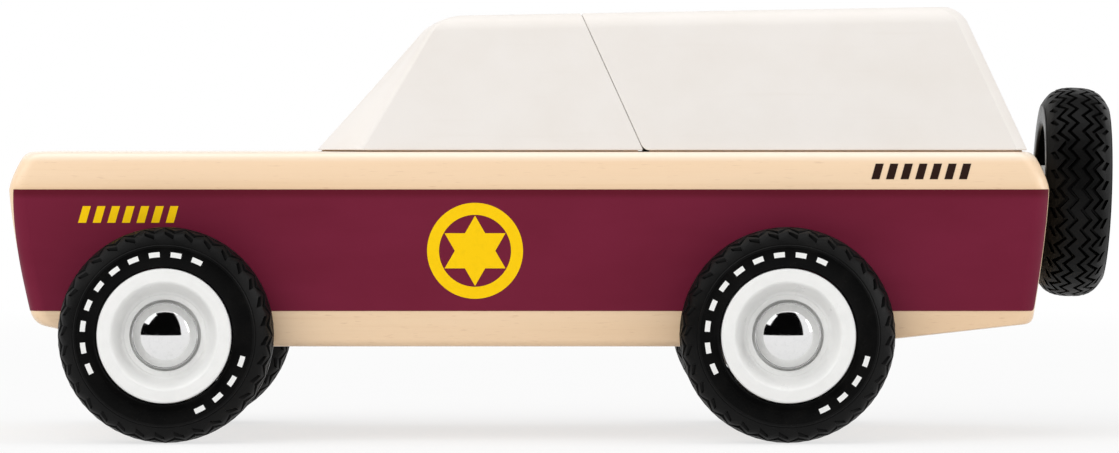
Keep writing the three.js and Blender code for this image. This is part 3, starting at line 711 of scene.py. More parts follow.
def print_ink(name, base):
    """Pad-printed ink, slightly uneven in its cover."""
    film = Noise((1.2, 1.2, 1.2))
    layers = (Layer(darker(base, 0.88), 0.5, film, 0.5, 0.8),)
    rough = Rough(film, 0.4, 0.5)
    return layered(name, base, layers, rough, (film, 0.006), Specular_IOR_Level=0.12)


def chrome(colours):
    return metal("chrome_plating", colours.chrome, low=0.04, high=0.12, cell=(0.8, 0.8, 0.8))


def zinc(colours):
    return metal("zinc_plating", colours.zinc, low=0.25, high=0.45, cell=(1.5, 0.3, 0.3))


def nickel(colours):
    return metal("nickel_plating", colours.nickel, low=0.16, high=0.32, cell=(0.5, 0.5, 0.5))


def nylon(colours):
    return plastic("black_nylon", colours.nylon, low=0.4, high=0.58)


# Body block

# Steps round the corner of a level outline
CORNER_STEPS = 10

# Levels of the block: over the edge of the belly, past nose and tail foot, up to the ridge, and
# over the shoulder
EDGE_LEVELS, FOOT_LEVELS, SIDE_LEVELS, SHOULDER_LEVELS = 6, 40, 28, 24


def level_outline(
    front, rear, half, front_corner, rear_corner, bow=0.0, bow_steps=1, rear_power=1.0
):
    """A level outline with rounded corners, whose front edge may bow forward in its middle.

    A rear power above 1 flattens the rear corners into facets.
    """

    def eased(value, power):
        return math.copysign(abs(value) ** power, value)

    def corner(x, y, radius, start, power=1.0):
        turns = steps_between(start, start + QUARTER, CORNER_STEPS)
        return [
            (x + radius * eased(math.cos(turn), power), y + radius * eased(math.sin(turn), power))
            for turn in turns
        ]

    points = corner(rear - rear_corner, rear_corner - half, rear_corner, -QUARTER, rear_power)
    points += corner(rear - rear_corner, half - rear_corner, rear_corner, 0.0, rear_power)
    edge = corner(front + front_corner, half - front_corner, front_corner, QUARTER)
    across = steps_between(half - front_corner, front_corner - half, bow_steps)
    edge += [(front, y) for y in across[1:-1]]
    edge += corner(front + front_corner, front_corner - half, front_corner, 2 * QUARTER)
    return points + [(x + bow * (y / half) ** 2, y) for x, y in edge]


class BodyForm:
    """The body block's outline, from its box and its sizes."""

    def __init__(self, sizes):
        self.sizes = sizes
        self.ridge = BODY_HIGH.z - sizes.shoulder_rise
        self.flank_foot = Vector((0.0, self.ridge))
        self.flank_bend = self.flank_foot + Vector((sizes.bend_run, sizes.bend_rise))
        self.flank_top = self.flank_foot + Vector((sizes.flank_run, sizes.flank_rise))
        lean = self.flank_top - self.flank_bend
        self.deck_corner = self.flank_top + lean * (BODY_HIGH.z - self.flank_top.y) / lean.y
        self.deck_edge = Vector((sizes.shoulder_run, BODY_HIGH.z))

    def rake(self, z):
        return (max(0.0, self.ridge - z) / (self.ridge - BODY_LOW.z)) ** self.sizes.rake_power

    def nose(self, z):
        return BODY_LOW.x + self.sizes.nose_rake * self.rake(z)

    def tail(self, z):
        return BODY_HIGH.x - self.sizes.tail_rake * self.rake(z)

    def swept(self, z, start, end_at):
        """Where a level ends: on the rising belly, round the foot, or on the nose or tail."""
        foot_z = BODY_LOW.z + self.sizes.sweep_rise
        foot = end_at(foot_z)
        outward = math.copysign(1.0, foot - start)
        pitch = self.sizes.sweep_rise / abs(foot - start)
        rounding = self.sizes.tail_foot if outward > 0 else self.sizes.nose_foot
        bend = foot - outward * rounding
        bend_z = BODY_LOW.z + pitch * abs(bend - start)
        lift_z = foot_z + rounding
        if z >= lift_z:
            return end_at(z)
        if z <= bend_z:
            return start + outward * (z - BODY_LOW.z) / pitch
        part = bent_part(bend_z, foot_z, lift_z, z)
        return bent(bend, foot, end_at(lift_z), part)

    def shoulder(self, part):
        """(inset, height) on the shoulder: parts 0 to 1 up its flank, 1 to 2 over its top."""
        if part <= 1:
            return bent(self.flank_foot, self.flank_bend, self.flank_top, part)
        return bent(self.flank_top, self.deck_corner, self.deck_edge, part - 1)

    def flank(self, z):
        """The inset of the shoulder's flank at a height, and how far it leans there."""
        foot, bend, top = self.flank_foot, self.flank_bend, self.flank_top
        part = bent_part(foot.y, bend.y, top.y, z)
        along_flank = lerp(bend - foot, top - bend, part)
        return self.shoulder(part).x, math.atan2(along_flank.x, along_flank.y)

    def level(self, z, inset, side_inset):
        """One level of the block as a ring of points."""
        front = self.swept(z, AXLE_X[0] - self.sizes.front_lead, self.nose)
        rear = self.swept(z, AXLE_X[1] + self.sizes.rear_lead, self.tail)
        half = BODY_HIGH.y - side_inset
        corner = self.sizes.corner
        ring = level_outline(front + inset, rear - inset, half, corner, corner)
        return [(x, y, z) for x, y in ring]

    def levels(self):
        edge = self.sizes.belly_edge
        edges = quarter_round(edge, EDGE_LEVELS)
        rings = [self.level(BODY_LOW.z + rise, 0.0, inset) for rise, inset in edges]
        lift_z = BODY_LOW.z + self.sizes.sweep_rise + self.sizes.nose_foot
        heights = steps_between(BODY_LOW.z + edge, lift_z, FOOT_LEVELS)[1:]
        heights += steps_between(lift_z, self.ridge, SIDE_LEVELS)[1:-1]
        rings += [self.level(z, 0.0, 0.0) for z in heights]
        for part in steps_between(0.0, 2.0, SHOULDER_LEVELS):
            inset, z = self.shoulder(part)
            rings.append(self.level(z, inset, inset))
        return rings


def magnet_pocket(node, mouth_z, out, sizes, finish):
    """A cutter for a magnet's pocket with an eased mouth; out is +1 where the mouth faces up."""
    foot, top, radius, place = round_node(node)
    wall = radius + sizes.fit
    floor = (foot if out > 0 else top) - out * sizes.fit
    profile = [
        (0.0, floor),
        (wall, floor),
        (wall, mouth_z - out * sizes.mouth),
        (wall + sizes.mouth, mouth_z),
        (wall + sizes.mouth, mouth_z + out * CLEAR),
        (0.0, mouth_z + out * CLEAR),
    ]
    return turned(f"{node}_pocket", profile, BORE_STEPS, place, finish)


class TOYCAR_OT_body(bpy.types.Operator):
    """Shapes the beech body block with its shoulder, rising belly, slots and pockets"""

    bl_idname = "toycar.body"
    bl_label = "Body block"

    def execute(self, context):
        settings = context.scene.toy_car
        sizes = settings.body
        finish = beech(settings.colours)
        piece = stacked("beech_body", BodyForm(sizes).levels(), finish)
        cutters = []
        for end in ENDS:
            low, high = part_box(f"{end}_axle_carrier")
            grow = Vector((sizes.fit, BODY_HIGH.y, 0.0))
            low.z = BODY_LOW.z - sizes.belly_edge
            high.z += sizes.fit
            cutters.append(box_piece(f"{end}_slot", low - grow, high + grow, finish))
            cutters.append(magnet_pocket(f"deck_magnet_{end}", BODY_HIGH.z, 1, sizes, finish))
        seat = rod(sizes.seat_radius, -sizes.seat_depth, 0.0)
        cutters.append(turned("spare_seat", seat, BORE_STEPS, wheel_place("spare"), finish))
        combine(piece, cutters, "DIFFERENCE")
        even_normals(piece)
        dress(piece, "body", "beech", "body_block")
        return {"FINISHED"}


# Side paint, badge and printed dashes

# Steps of the paint round a corner, along the side, over its foot and up to the ridge, and the
# foot's part of its height
TURN_STEPS, SIDE_STEPS, FOOT_STEPS, RISE_STEPS = 24, 30, 5, 38
FOOT_PART = 0.05
RING_STEPS = 128
STAR_POINTS = 6
DASH_STEPS = 6


def side_point(form, sizes, z, part):
    """A point of the side, its outward direction and its distance from the paint's nearer end.

    Parts 0 to 1 go round the nose corner, 1 to 2 along the side and 2 to 3 round the tail corner.
    """
    radius = form.sizes.corner
    height = max(0.0, (z - sizes.margin_end) / (form.ridge - sizes.margin_end))
    nose_turn = math.asin(1 - sizes.nose_margin * height**2 / radius)
    tail_turn = math.asin(1 - sizes.tail_margin / radius)
    turn = nose_turn * min(0.0, part - 1) + tail_turn * max(0.0, part - 2)
    x = lerp(form.nose(z) + radius, form.tail(z) - radius, min(1.0, max(0.0, part - 1)))
    outward = Vector((math.sin(turn), -math.cos(turn), 0.0))
    point = Vector((x, radius - BODY_HIGH.y, z)) + radius * outward
    return point, outward, radius * min(nose_turn * part, tail_turn * (3 - part))


def paint_panel(name, side, form, sizes, finish):
    """A film of paint over one side and round the block's corners, with rounded lower corners."""
    parts = steps_between(0, 1, TURN_STEPS) + steps_between(1, 2, SIDE_STEPS)[1:]
    parts += steps_between(2, 3, TURN_STEPS)[1:]
    heights = steps_between(0.0, FOOT_PART, FOOT_STEPS)
    heights += steps_between(FOOT_PART, 1.0, RISE_STEPS)[1:]
    rows = []
    for height in heights:
        outside = []
        inside = []
        for part in parts:
            distance = side_point(form, sizes, sizes.paint_foot, part)[2]
            share_in = min(1.0, distance / sizes.paint_corner)
            rise = sizes.paint_corner * (1 - math.sqrt(1 - (1 - share_in) ** 2))
            z = lerp(sizes.paint_foot + rise, form.ridge, height)
            point, outward, _ = side_point(form, sizes, z, part)
            for layer, stand in ((outside, sizes.film), (inside, -sizes.film)):
                moved = point + stand * outward
                layer.append((moved.x, -side * moved.y, z))
        rows.append(outside + inside[::-1])
    faces = skin_faces(len(rows), len(rows[0]), False, True)
    return new_piece(name, [point for row in rows for point in row], faces, finish)


def raised_outline(outlines, lift, is_ladder=True):
    """Points and faces of thin shapes raised by lift, from (inner, outer) or single rings."""
    points = []
    faces = []
    for rings in outlines:
        start = len(points)
        stack = []
        for ring, parts in zip(rings, ((0.0, 1.0), (1.0, 0.0))):
            stack += [[lift(point, part) for point in ring] for part in parts]
        points += [point for ring in stack for point in ring]
        shape = skin_faces(len(stack), len(rings[0]), len(rings) == 2, is_ladder)
        faces += [tuple(start + index for index in face) for face in shape]
    return points, faces


def circle(radius):
    turns = steps_between(0, 2 * math.pi, RING_STEPS)[:-1]
    return [(radius * math.cos(turn), radius * math.sin(turn)) for turn in turns]


def badge_outlines(sizes):
    """A ring round a six-pointed star that stands on one point."""
    star = []
    for tip in range(2 * STAR_POINTS):
        radius = sizes.star_notch if tip % 2 else sizes.star_tip
        turn = QUARTER + math.pi * tip / STAR_POINTS
        star.append((radius * math.cos(turn), radius * math.sin(turn)))
    return [(circle(sizes.ring_inside), circle(sizes.ring_outside)), (star,)]


def dash_outlines(sizes, foot, top):
    """A row of leaning dashes, each a ring of points up one edge and down the other."""
    outlines = []
    for dash in range(sizes.dash_count):
        left = dash * sizes.dash_pitch
        heights = steps_between(foot, top, DASH_STEPS)
        lean = [sizes.dash_slant * (z - foot) / (top - foot) for z in heights]
        edge = [(left + shift, z) for shift, z in zip(lean, heights)]
        back = [(left + sizes.dash_width + shift, z) for shift, z in zip(lean, heights)]
        outlines.append((edge + back[::-1],))
    return outlines


class TOYCAR_OT_side_paint(bpy.types.Operator):
    """Lays the red paint, the badge and the printed dashes on both sides"""

    bl_idname = "toycar.side_paint"
    bl_label = "Side paint and badges"

    def execute(self, context):
        settings = context.scene.toy_car
        sizes = settings.trim
        colours = settings.colours
        form = BodyForm(settings.body)
        wall = BODY_HIGH.y
        red = red_paint(colours, form.ridge)
        yellow = print_ink("yellow_print", colours.yellow)
        black = print_ink("black_print", colours.black)
        for name, side in SIDES.items():
            panel = paint_panel(f"{name}_side_paint", side, form, sizes, red)
            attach(panel, "body")

            def on_paint(point, part, x=0.0, z=0.0):
                stand = sizes.film / 2 + part * (sizes.film / 2 + sizes.ink)
                return (BODY_LOW.x + x + point[0], side * (wall + stand), z + point[1])

            def on_badge(point, part):
                return on_paint(point, part, sizes.badge_x, sizes.badge_z)

            def on_door(point, part):
                return on_paint(point, part, sizes.door_dash_x)

            def on_rail(point, part):
                inset, lean = form.flank(point[1])
                lift = (2 * part - 1) * sizes.ink
                x = BODY_LOW.x + sizes.rail_dash_x + point[0]
                y = side * (wall - inset + lift * math.cos(lean))
                return (x, y, point[1] + lift * math.sin(lean))

            door = dash_outlines(sizes, sizes.door_dash_foot, sizes.door_dash_top)
            rail = dash_outlines(sizes, sizes.rail_dash_foot, sizes.rail_dash_top)
            prints = (
                ("badge", raised_outline(badge_outlines(sizes), on_badge, False), yellow),
                ("front_dashes", raised_outline(door, on_door), yellow),
                ("rear_dashes", raised_outline(rail, on_rail), black),
            )
            for label, shape, finish in prints:
                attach(new_piece(f"{name}_{label}", *shape, finish), "body")
        return {"FINISHED"}


# Cab and hardtop

# Levels over the sanded foot, up the heel, up the sides and over the roof's edge, and steps across
# the fronts of cab and hardtop
EASE_LEVELS, HEEL_LEVELS, WALL_LEVELS, ROOF_LEVELS = 5, 4, 8, 14
SCREEN_STEPS, SEAM_STEPS = 36, 12


class CabForm:
    """Levels of the cab and the hardtop, from their boxes and sizes."""

    def __init__(self, sizes):
        self.sizes = sizes
        self.foot = CAB_LOW.z
        self.seat = BODY_HIGH.z + sizes.seat_line
        self.sill = BODY_HIGH.z + sizes.seat_gap
        self.top = BODY_HIGH.z + sizes.height

    def climb(self, z):
        return (z - self.foot) / (self.top - self.foot)

    def seam(self, z):
        return CAB_HIGH.x - math.tan(self.sizes.seam_lean) * (z - self.foot)

    def seam_edge(self, rounding):
        """How far the sanded roof edge stands back from the seam."""
        return self.sizes.seam_ease * rounding**3

    def half(self, z, rounding, inset):
        lean = self.sizes.tumblehome * self.climb(z)
        return CAB_HIGH.y - lean - self.sizes.roof_round * rounding - inset

    def roofed(self, outline, z):
        """Lifts an outline to its level, which climbs rearwards the higher it lies."""
        rise = self.sizes.roof_rise * self.climb(z)
        return [(x, y, z + rise * (x - CAB_LOW.x)) for x, y in outline]

    def cab_level(self, z, rounding, inset):
        sizes = self.sizes
        lean = math.tan(sizes.windscreen_lean) * (z - self.foot)
        outline = level_outline(
            front=CAB_LOW.x + lean + sizes.brow_round * rounding + inset,
            rear=self.seam(z) - self.seam_edge(rounding) - inset,
            half=self.half(z, rounding, inset),
            front_corner=sizes.corner,
            rear_corner=sizes.seam_corner,
            bow=lerp(sizes.foot_bow, sizes.roof_bow, self.climb(z)),
            bow_steps=SCREEN_STEPS,
        )
        return self.roofed(outline, z)

    def hardtop_level(self, z, rounding, inset):
        sizes = self.sizes
        lean = math.tan(sizes.rear_lean) * (z - self.foot)
        lift = max(0.0, min(1.0, (z - self.sill) / sizes.heel))
        heel = sizes.heel * (1 - math.sqrt(1 - (1 - lift) ** 2))
        outline = level_outline(
            front=self.seam(z) + sizes.seam_gap + self.seam_edge(rounding),
            rear=HARDTOP_REAR - lean - sizes.roof_round * rounding - inset,
            half=self.half(z, rounding, inset),
            front_corner=sizes.seam_corner,
            rear_corner=sizes.rear_facet,
            bow=heel,
            bow_steps=SEAM_STEPS,
            rear_power=sizes.rear_power,
        )
        return self.roofed(outline, z)

    def levels(self, level):
        """Rings from the seat and the sanded foot up the leaning sides over the roof's edge."""
        sizes = self.sizes
        rings = [level(z, 0.0, sizes.seat_inset) for z in (self.seat, self.sill)]
        eased = quarter_round(sizes.foot_ease, EASE_LEVELS)
        rings += [level(self.sill + rise, 0.0, inset) for rise, inset in eased]
        heel = self.sill + sizes.heel
        heights = steps_between(self.sill + sizes.foot_ease, heel, HEEL_LEVELS)[1:]
        heights += steps_between(heel, self.top - sizes.roof_round, WALL_LEVELS)[1:-1]
        rings += [level(z, 0.0, 0.0) for z in heights]
        for rounding, fall in quarter_round(1.0, ROOF_LEVELS):
            rings.append(level(self.top - sizes.roof_round * fall, rounding, 0.0))
        return rings


class TOYCAR_OT_cab(bpy.types.Operator):
    """Shapes the painted cab with its bowed windscreen"""

    bl_idname = "toycar.cab"
    bl_label = "Cab"

    def execute(self, context):
        settings = context.scene.toy_car
        form = CabForm(settings.cab)
        finish = white_paint(settings.colours, form.sill)
        piece = stacked("painted_cab", form.levels(form.cab_level), finish)
        even_normals(piece)
        dress(piece, "body", "white_paint", "cab_block")
        return {"FINISHED"}


class TOYCAR_OT_hardtop(bpy.types.Operator):
    """Shapes the painted hardtop, with the magnet pockets in its underside"""

    bl_idname = "toycar.hardtop"
    bl_label = "Hardtop"

    def execute(self, context):
        settings = context.scene.toy_car
        form = CabForm(settings.cab)
        finish = white_paint(settings.colours, form.sill)
        piece = stacked("painted_hardtop", form.levels(form.hardtop_level), finish)
        cutters = [
            magnet_pocket(f"hardtop_magnet_{end}", form.seat, -1, settings.body, finish)
            for end in ENDS
        ]
        combine(piece, cutters, "DIFFERENCE")
        even_normals(piece)
        dress(piece, "hardtop", "white_paint", "hardtop_block")
        return {"FINISHED"}


# Wheels

# One row of points round a tyre: how far across, at what radius, how far it swings with the
# zigzag, the depth of the shoulder pockets on it, and whether it follows the crown of the tread
TreadRow = namedtuple(
    "TreadRow", "across radius swing pocket is_crowned", defaults=(0.0, 0.0, True)
)

# Columns of points over one lug, as shares of it: the corners of the zigzag and the pockets' ends
COLUMNS = (0.0, 0.04, 0.46, 0.5, 0.54, 0.96)
POCKET_FIRST, POCKET_LAST = 0.03, 0.47

# The crown of the tread: mm of fall per mm across, with the power of each term
CROWN = ((0.023, 2), (0.0023, 4))

# Section of the sidewall in mm, in from its face: out of its edge first, and then out of the bead
EDGE_SECTION = ((0.24, 0.22), (0.24, 0.06), (0.12, 0.0), (0.04, -0.1), (0.0, -0.4))
BEAD_SECTION = ((0.0, 1.2), (0.1, 0.5), (0.3, 0.15), (0.5, 0.0))

# Rows of a half tyre that belong to its smooth sidewall, from inside its edge to the bead
WALL_ROWS = len(BEAD_SECTION) + 1

# Steps along a white dash, over the edge and the dish of a rim, and over the lip and dome of a cap
MARK_STEPS = 8
EDGE_STEPS, DISH_STEPS = 5, 16
LIP_STEPS, DOME_STEPS = 6, 24


def crown(across):
    """How much lower the tread lies away from its middle, rounding off at the shoulder."""
    return MM * sum(fall * (across / MM) ** power for fall, power in CROWN)


def half_tyre_rows(sizes, radius):
    """Rows from the middle plane over tread, shoulder and sidewall to the bead."""
    rows = [TreadRow(0.0, radius, sizes.zigzag)]
    width, floor, depth = sizes.groove_width, sizes.groove_floor, sizes.groove_depth
    groove = ((-width, 0.0), (-floor, depth), (floor, depth), (width, 0.0))
    for middle in (sizes.inner_groove, sizes.outer_groove):
        for across, sunk in groove:
            rows.append(TreadRow(middle + across / 2, radius - sunk, sizes.zigzag))
    first, last, slope = sizes.pocket_start, sizes.pocket_end, sizes.pocket_slope
    depth = sizes.pocket_depth
    pocket = ((first, 0.0), (first + slope, depth), (last - slope, depth), (last, 0.0))
    rows += [TreadRow(across, radius, sizes.pocket_swing, sunk) for across, sunk in pocket]
    rows.append(TreadRow(sizes.tread_half, radius))
    for foot, section in ((sizes.wall_edge, EDGE_SECTION), (sizes.bead, BEAD_SECTION)):
        for inward, out in section:
            across = sizes.wall_half - inward * MM
            rows.append(TreadRow(across, foot + out * MM, is_crowned=False))
    return rows


def tyre_ring(row, sizes, side):
    """The points of one row. On the inner side the pockets lie half a lug further on.

    The zigzag's wave runs from -1 at the start of a lug to 1 in its middle, and back.
    """
    ring = []
    for lug in range(sizes.lugs):
        for column in COLUMNS:
            wave = 1 - 4 * abs(column - 0.5)
            place = column if side > 0 else (column + 0.5) % 1
            turn = 2 * math.pi * (lug + column) / sizes.lugs - QUARTER
            across = side * row.across + row.swing * wave
            radius = row.radius
            if POCKET_FIRST <= place <= POCKET_LAST:
                radius -= row.pocket
            if row.is_crowned:
                radius -= crown(across)
            ring.append(round_point(radius, across, turn))
    return ring


def tyre_mark_outlines(sizes):
    """White dashes round the sidewall in a long and a short row, as (radius, turn) rings."""
    turns = [sizes.mark_start + step * sizes.mark_pitch for step in range(sizes.mark_count)]
    turns += [sizes.short_start + step * sizes.mark_pitch for step in range(sizes.short_count)]
    half = sizes.mark_width / (sizes.mark_foot + sizes.mark_top)
    outlines = []
    for turn in turns:
        sweep = steps_between(turn - half, turn + half, MARK_STEPS)
        foot = [(sizes.mark_foot, step) for step in sweep]
        top = [(sizes.mark_top, step) for step in sweep[::-1]]
        outlines.append((foot + top,))
    return outlines


class TOYCAR_OT_tyres(bpy.types.Operator):
    """Moulds the five tyres with their zigzag tread, shoulder pockets and white dashes"""

    bl_idname = "toycar.tyres"
    bl_label = "Tyres"

    def execute(self, context):
        settings = context.scene.toy_car
        sizes = settings.tyre
        low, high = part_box("front_left_tyre")
        half = half_tyre_rows(sizes, (high.z - low.z) / 2)
        rings = [tyre_ring(row, sizes, 1) for row in half]
        rings += [tyre_ring(row, sizes, -1) for row in half[:0:-1]]
        faces = skin_faces(len(rings), len(rings[0]), True)
        wall_start = (len(half) - WALL_ROWS) * len(rings[0])
        wall_end = (len(half) + WALL_ROWS - 1) * len(rings[0])
        tread = rubber("moulded_rubber", settings.colours, low=0.36, high=0.48, gloss=0.12)
        wall = rubber("smooth_wall_rubber", settings.colours, low=0.2, high=0.3, gloss=0.05)
        white = print_ink("white_tyre_print", settings.colours.mark)
        for wheel in WHEELS:
            place = wheel_place(wheel)
            points = [place @ point for ring in rings for point in ring]
            piece = new_piece(f"{wheel}_tyre_rubber", points, faces, tread, TYRE_SHARP)
            piece.data.materials.append(wall)
            for face in piece.data.polygons[wall_start:wall_end]:
                face.material_index = 1
            dress(piece, wheel_body(wheel), "tyre_rubber", f"{wheel}_tyre")

            def on_wall(point, part):
                reach, turn = point
                across = sizes.wall_half + (2 * part - 1) * sizes.mark_film
                return place @ Vector((-reach * math.cos(turn), across, reach * math.sin(turn)))

            marks = raised_outline(tyre_mark_outlines(sizes), on_wall)
            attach(new_piece(f"{wheel}_tyre_dashes", *marks, white), wheel_body(wheel))
        return {"FINISHED"}


def rim_profile(sizes):
    """Section of a rim: hub tube, web, barrel, face ring, smooth dish, ledge and hub pocket."""
    ledge = sizes.face - sizes.dish_depth
    barrel = sizes.radius - sizes.wall
    profile = [
        (sizes.bore, -sizes.hub_back),
        (sizes.hub, -sizes.hub_back),
        (sizes.hub, ledge - sizes.wall),
        (barrel - sizes.edge, sizes.face - 2 * sizes.wall),
        (barrel, sizes.face - 2 * sizes.wall - sizes.edge),
        (barrel, -sizes.barrel_back),
        (sizes.radius, -sizes.barrel_back),
    ]
    for inset, fall in quarter_round(sizes.edge, EDGE_STEPS):
        profile.append((sizes.radius - inset, sizes.face - fall))
    for part in steps_between(0.0, 1.0, DISH_STEPS):
        fall = (1 - math.cos(math.pi * part)) / 2
        across = lerp(sizes.ring_inside, sizes.ledge, part)
        profile.append((across, lerp(sizes.face, ledge + sizes.step, fall)))
    profile += [
        (sizes.ledge - sizes.step, ledge),
        (sizes.groove, ledge),
        (sizes.groove, ledge - sizes.groove_depth),
        (sizes.pocket, ledge - sizes.groove_depth),
        (sizes.pocket, ledge - sizes.pocket_depth),
        (sizes.bore, ledge - sizes.pocket_depth),
    ]
    return profile


def cap_profile(sizes):
    """Section of a hub cap: stem, lip and dome."""
    foot = sizes.face - sizes.dish_depth + sizes.fit
    stem = sizes.pocket - sizes.fit
    dome = sizes.cap_radius - sizes.cap_lip
    tip = foot - sizes.cap_stem
    profile = [(0.0, tip), (stem, tip), (stem, foot), (sizes.cap_radius, foot)]
    lip = sizes.cap_lip / 2
    for turn in steps_between(0.0, 2 * QUARTER, LIP_STEPS):
        across = sizes.cap_radius - lip + lip * math.cos(turn)
        profile.append((across, foot + sizes.cap_lip_height + lip * math.sin(turn)))
    rise = sizes.cap_height - sizes.cap_lip_height
    curve = (dome**2 + rise**2) / (2 * rise)
    for turn in steps_between(math.asin(dome / curve), 0.0, DOME_STEPS)[1:]:
        fall = curve * (1 - math.cos(turn))
        profile.append((curve * math.sin(turn), foot + sizes.cap_height - fall))
    return profile


class TOYCAR_OT_rims(bpy.types.Operator):
    """Moulds the five dished rims"""

    bl_idname = "toycar.rims"
    bl_label = "Rims"

    def execute(self, context):
        settings = context.scene.toy_car
        finish = plastic("white_rim_plastic", settings.colours.plastic, low=0.26, high=0.4)
        profile = rim_profile(settings.rim)
        for wheel in WHEELS:
            place = wheel_place(wheel)
            piece = turned(f"{wheel}_rim_moulding", profile, RIM_STEPS, place, finish)
            even_normals(piece)
            dress(piece, wheel_body(wheel), "white_plastic", f"{wheel}_rim")
        return {"FINISHED"}


class TOYCAR_OT_hub_caps(bpy.types.Operator):
    """Presses the five domed hub caps"""

    bl_idname = "toycar.hub_caps"
    bl_label = "Hub caps"

    def execute(self, context):
        settings = context.scene.toy_car
        finish = chrome(settings.colours)
        profile = cap_profile(settings.rim)
        for wheel in WHEELS:
            piece = turned(f"{wheel}_cap_dome", profile, CAP_STEPS, wheel_place(wheel), finish)
            dress(piece, wheel_body(wheel), "chrome", f"{wheel}_hub_cap")
        return {"FINISHED"}


# Magnets, axle carriers, screws and washer

# Segments round a carrier's edges, and arms of the cross in a screw's head
EDGE_SEGMENTS = 3
CROSS_ARMS = 4


class TOYCAR_OT_magnets(bpy.types.Operator):
    """Makes the nickel-plated magnets in the deck and in the hardtop"""

    bl_idname = "toycar.magnets"
    bl_label = "Magnets"

    def execute(self, context):
        settings = context.scene.toy_car
        finish = nickel(settings.colours)
        for owner, body in (("deck", "body"), ("hardtop", "hardtop")):
            for end in ENDS:
                node = f"{owner}_magnet_{end}"
                foot, top, radius, place = round_node(node)
                profile = disc(0.0, radius, foot, top, settings.hardware.magnet_edge)
                piece = turned(f"{node}_disc", profile, DISC_STEPS, place, finish)
                dress(piece, body, "magnet", node)
        return {"FINISHED"}


def screw_profile(sizes, radius, head_z, tip_z):
    """Section of a countersunk screw with its head down and its thread as fine ridges."""
    neck = head_z + sizes.screw_cone
    shank = sizes.screw_shank
    profile = [(0.0, head_z), (radius, head_z), (radius, head_z + sizes.thread), (shank, neck)]
    turns = int((tip_z - sizes.screw_point - neck) / sizes.thread_pitch)
    for ridge in range(turns):
        foot = neck + ridge * sizes.thread_pitch
        profile.append((shank - sizes.thread, foot + sizes.thread_pitch / 2))
        profile.append((shank, foot + sizes.thread_pitch))
    profile.append((0.0, tip_z))
    return profile


class TOYCAR_OT_carriers(bpy.types.Operator):
    """Moulds the axle carriers under the belly and drives their cross-head screws"""

    bl_idname = "toycar.carriers"
    bl_label = "Axle carriers"

    def sink(self, node, sizes, finish):
        """A cutter for a screw's countersunk hole."""
        foot, top, radius, place = round_node(node)
        head = radius + sizes.sink
        shank = sizes.screw_shank + sizes.sink
        profile = [
            (0.0, foot - sizes.sink),
            (head, foot - sizes.sink),
            (head, foot + sizes.sink),
            (shank, foot + sizes.screw_cone + sizes.sink),
            (shank, top),
            (0.0, top),
        ]
        return turned(f"{node}_sink", profile, SCREW_STEPS, place, finish)

    def carrier(self, node, screws, sizes, finish):
        low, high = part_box(node)
        side = BODY_HIGH.y
        corners = ((low.x, -side, low.z), (high.x, side, high.z))
        piece = box_piece(f"{node}_moulding", *corners, finish)
        shell = bmesh.new()
        shell.from_mesh(piece.data)
        rounding = {"offset": sizes.carrier_edge, "segments": EDGE_SEGMENTS, "affect": "EDGES"}
        bmesh.ops.bevel(shell, geom=shell.edges[:], **rounding)
        shell.to_mesh(piece.data)
        shell.free()
        place = Matrix.Translation(((low.x + high.x) / 2, 0.0, AXLE_Z))
        boss = turned("boss", rod(sizes.boss, low.y, high.y), BORE_STEPS, place, finish)
        combine(piece, [boss], "UNION")
        half_step = Matrix.Rotation(math.pi / BORE_STEPS, 4, "Y")
        bore = rod(sizes.bore, low.y - CLEAR, high.y + CLEAR)
        cutters = [turned("bore", bore, BORE_STEPS, place @ half_step, finish)]
        cutters += [self.sink(screw, sizes, finish) for screw in screws]
        combine(piece, cutters, "DIFFERENCE")
        even_normals(piece)
        dress(piece, "body", "nylon", node)

    def screw(self, node, sizes, finish):
        foot, top, radius, place = round_node(node)
        profile = screw_profile(sizes, radius, foot, top)
        piece = turned(f"{node}_threaded", profile, SCREW_STEPS, place, finish)
        reach = sizes.slot_reach * radius
        half = sizes.slot_width / 2
        tip = [Vector((half, half)), Vector((reach, half)), Vector((reach, -half))]
        outline = []
        for arm in range(CROSS_ARMS):
            turn = Matrix.Rotation(sizes.slot_turn - arm * QUARTER, 2)
            outline += [turn @ point + place.translation.xy for point in tip]
        heights = (foot - sizes.slot_depth, foot + sizes.slot_depth)
        rings = [[(x, y, z) for x, y in outline] for z in heights]
        combine(piece, [stacked("cross", rings, finish)], "DIFFERENCE")
        dress(piece, "body", "steel", node)

    def execute(self, context):
        settings = context.scene.toy_car
        sizes = settings.hardware
        for end in ENDS:
            screws = [f"{end}_carrier_screw_{side}" for side in SIDES]
            self.carrier(f"{end}_axle_carrier", screws, sizes, nylon(settings.colours))
            for screw in screws:
                self.screw(screw, sizes, zinc(settings.colours))
        return {"FINISHED"}


class TOYCAR_OT_inner_pieces(bpy.types.Operator):
    """Makes the spare's washer, and finishes the axles, the spare's screw and the dowels"""

    bl_idname = "toycar.inner_pieces"
    bl_label = "Washer, axles and dowels"

    def execute(self, context):
        settings = context.scene.toy_car
        sizes = settings.hardware
        face = -sizes.washer_face
        edge = sizes.magnet_edge / 2
        profile = disc(sizes.washer_bore, sizes.washer, face - sizes.washer_thick, face, edge)
        place = wheel_place("spare")
        piece = turned("spare_washer_disc", profile, DISC_STEPS, place, nylon(settings.colours))
        dress(piece, "body", "nylon", "spare_washer")
        kept = (
            (zinc(settings.colours), ("front_axle", "rear_axle", "spare_screw")),
            (beech(settings.colours), ("cab_dowel_front", "cab_dowel_rear")),
        )
        for finish, nodes in kept:
            for node in nodes:
                mesh = frame["nodes"][node].data
                mesh.materials.clear()
                mesh.materials.append(finish)
        return {"FINISHED"}


# Stage

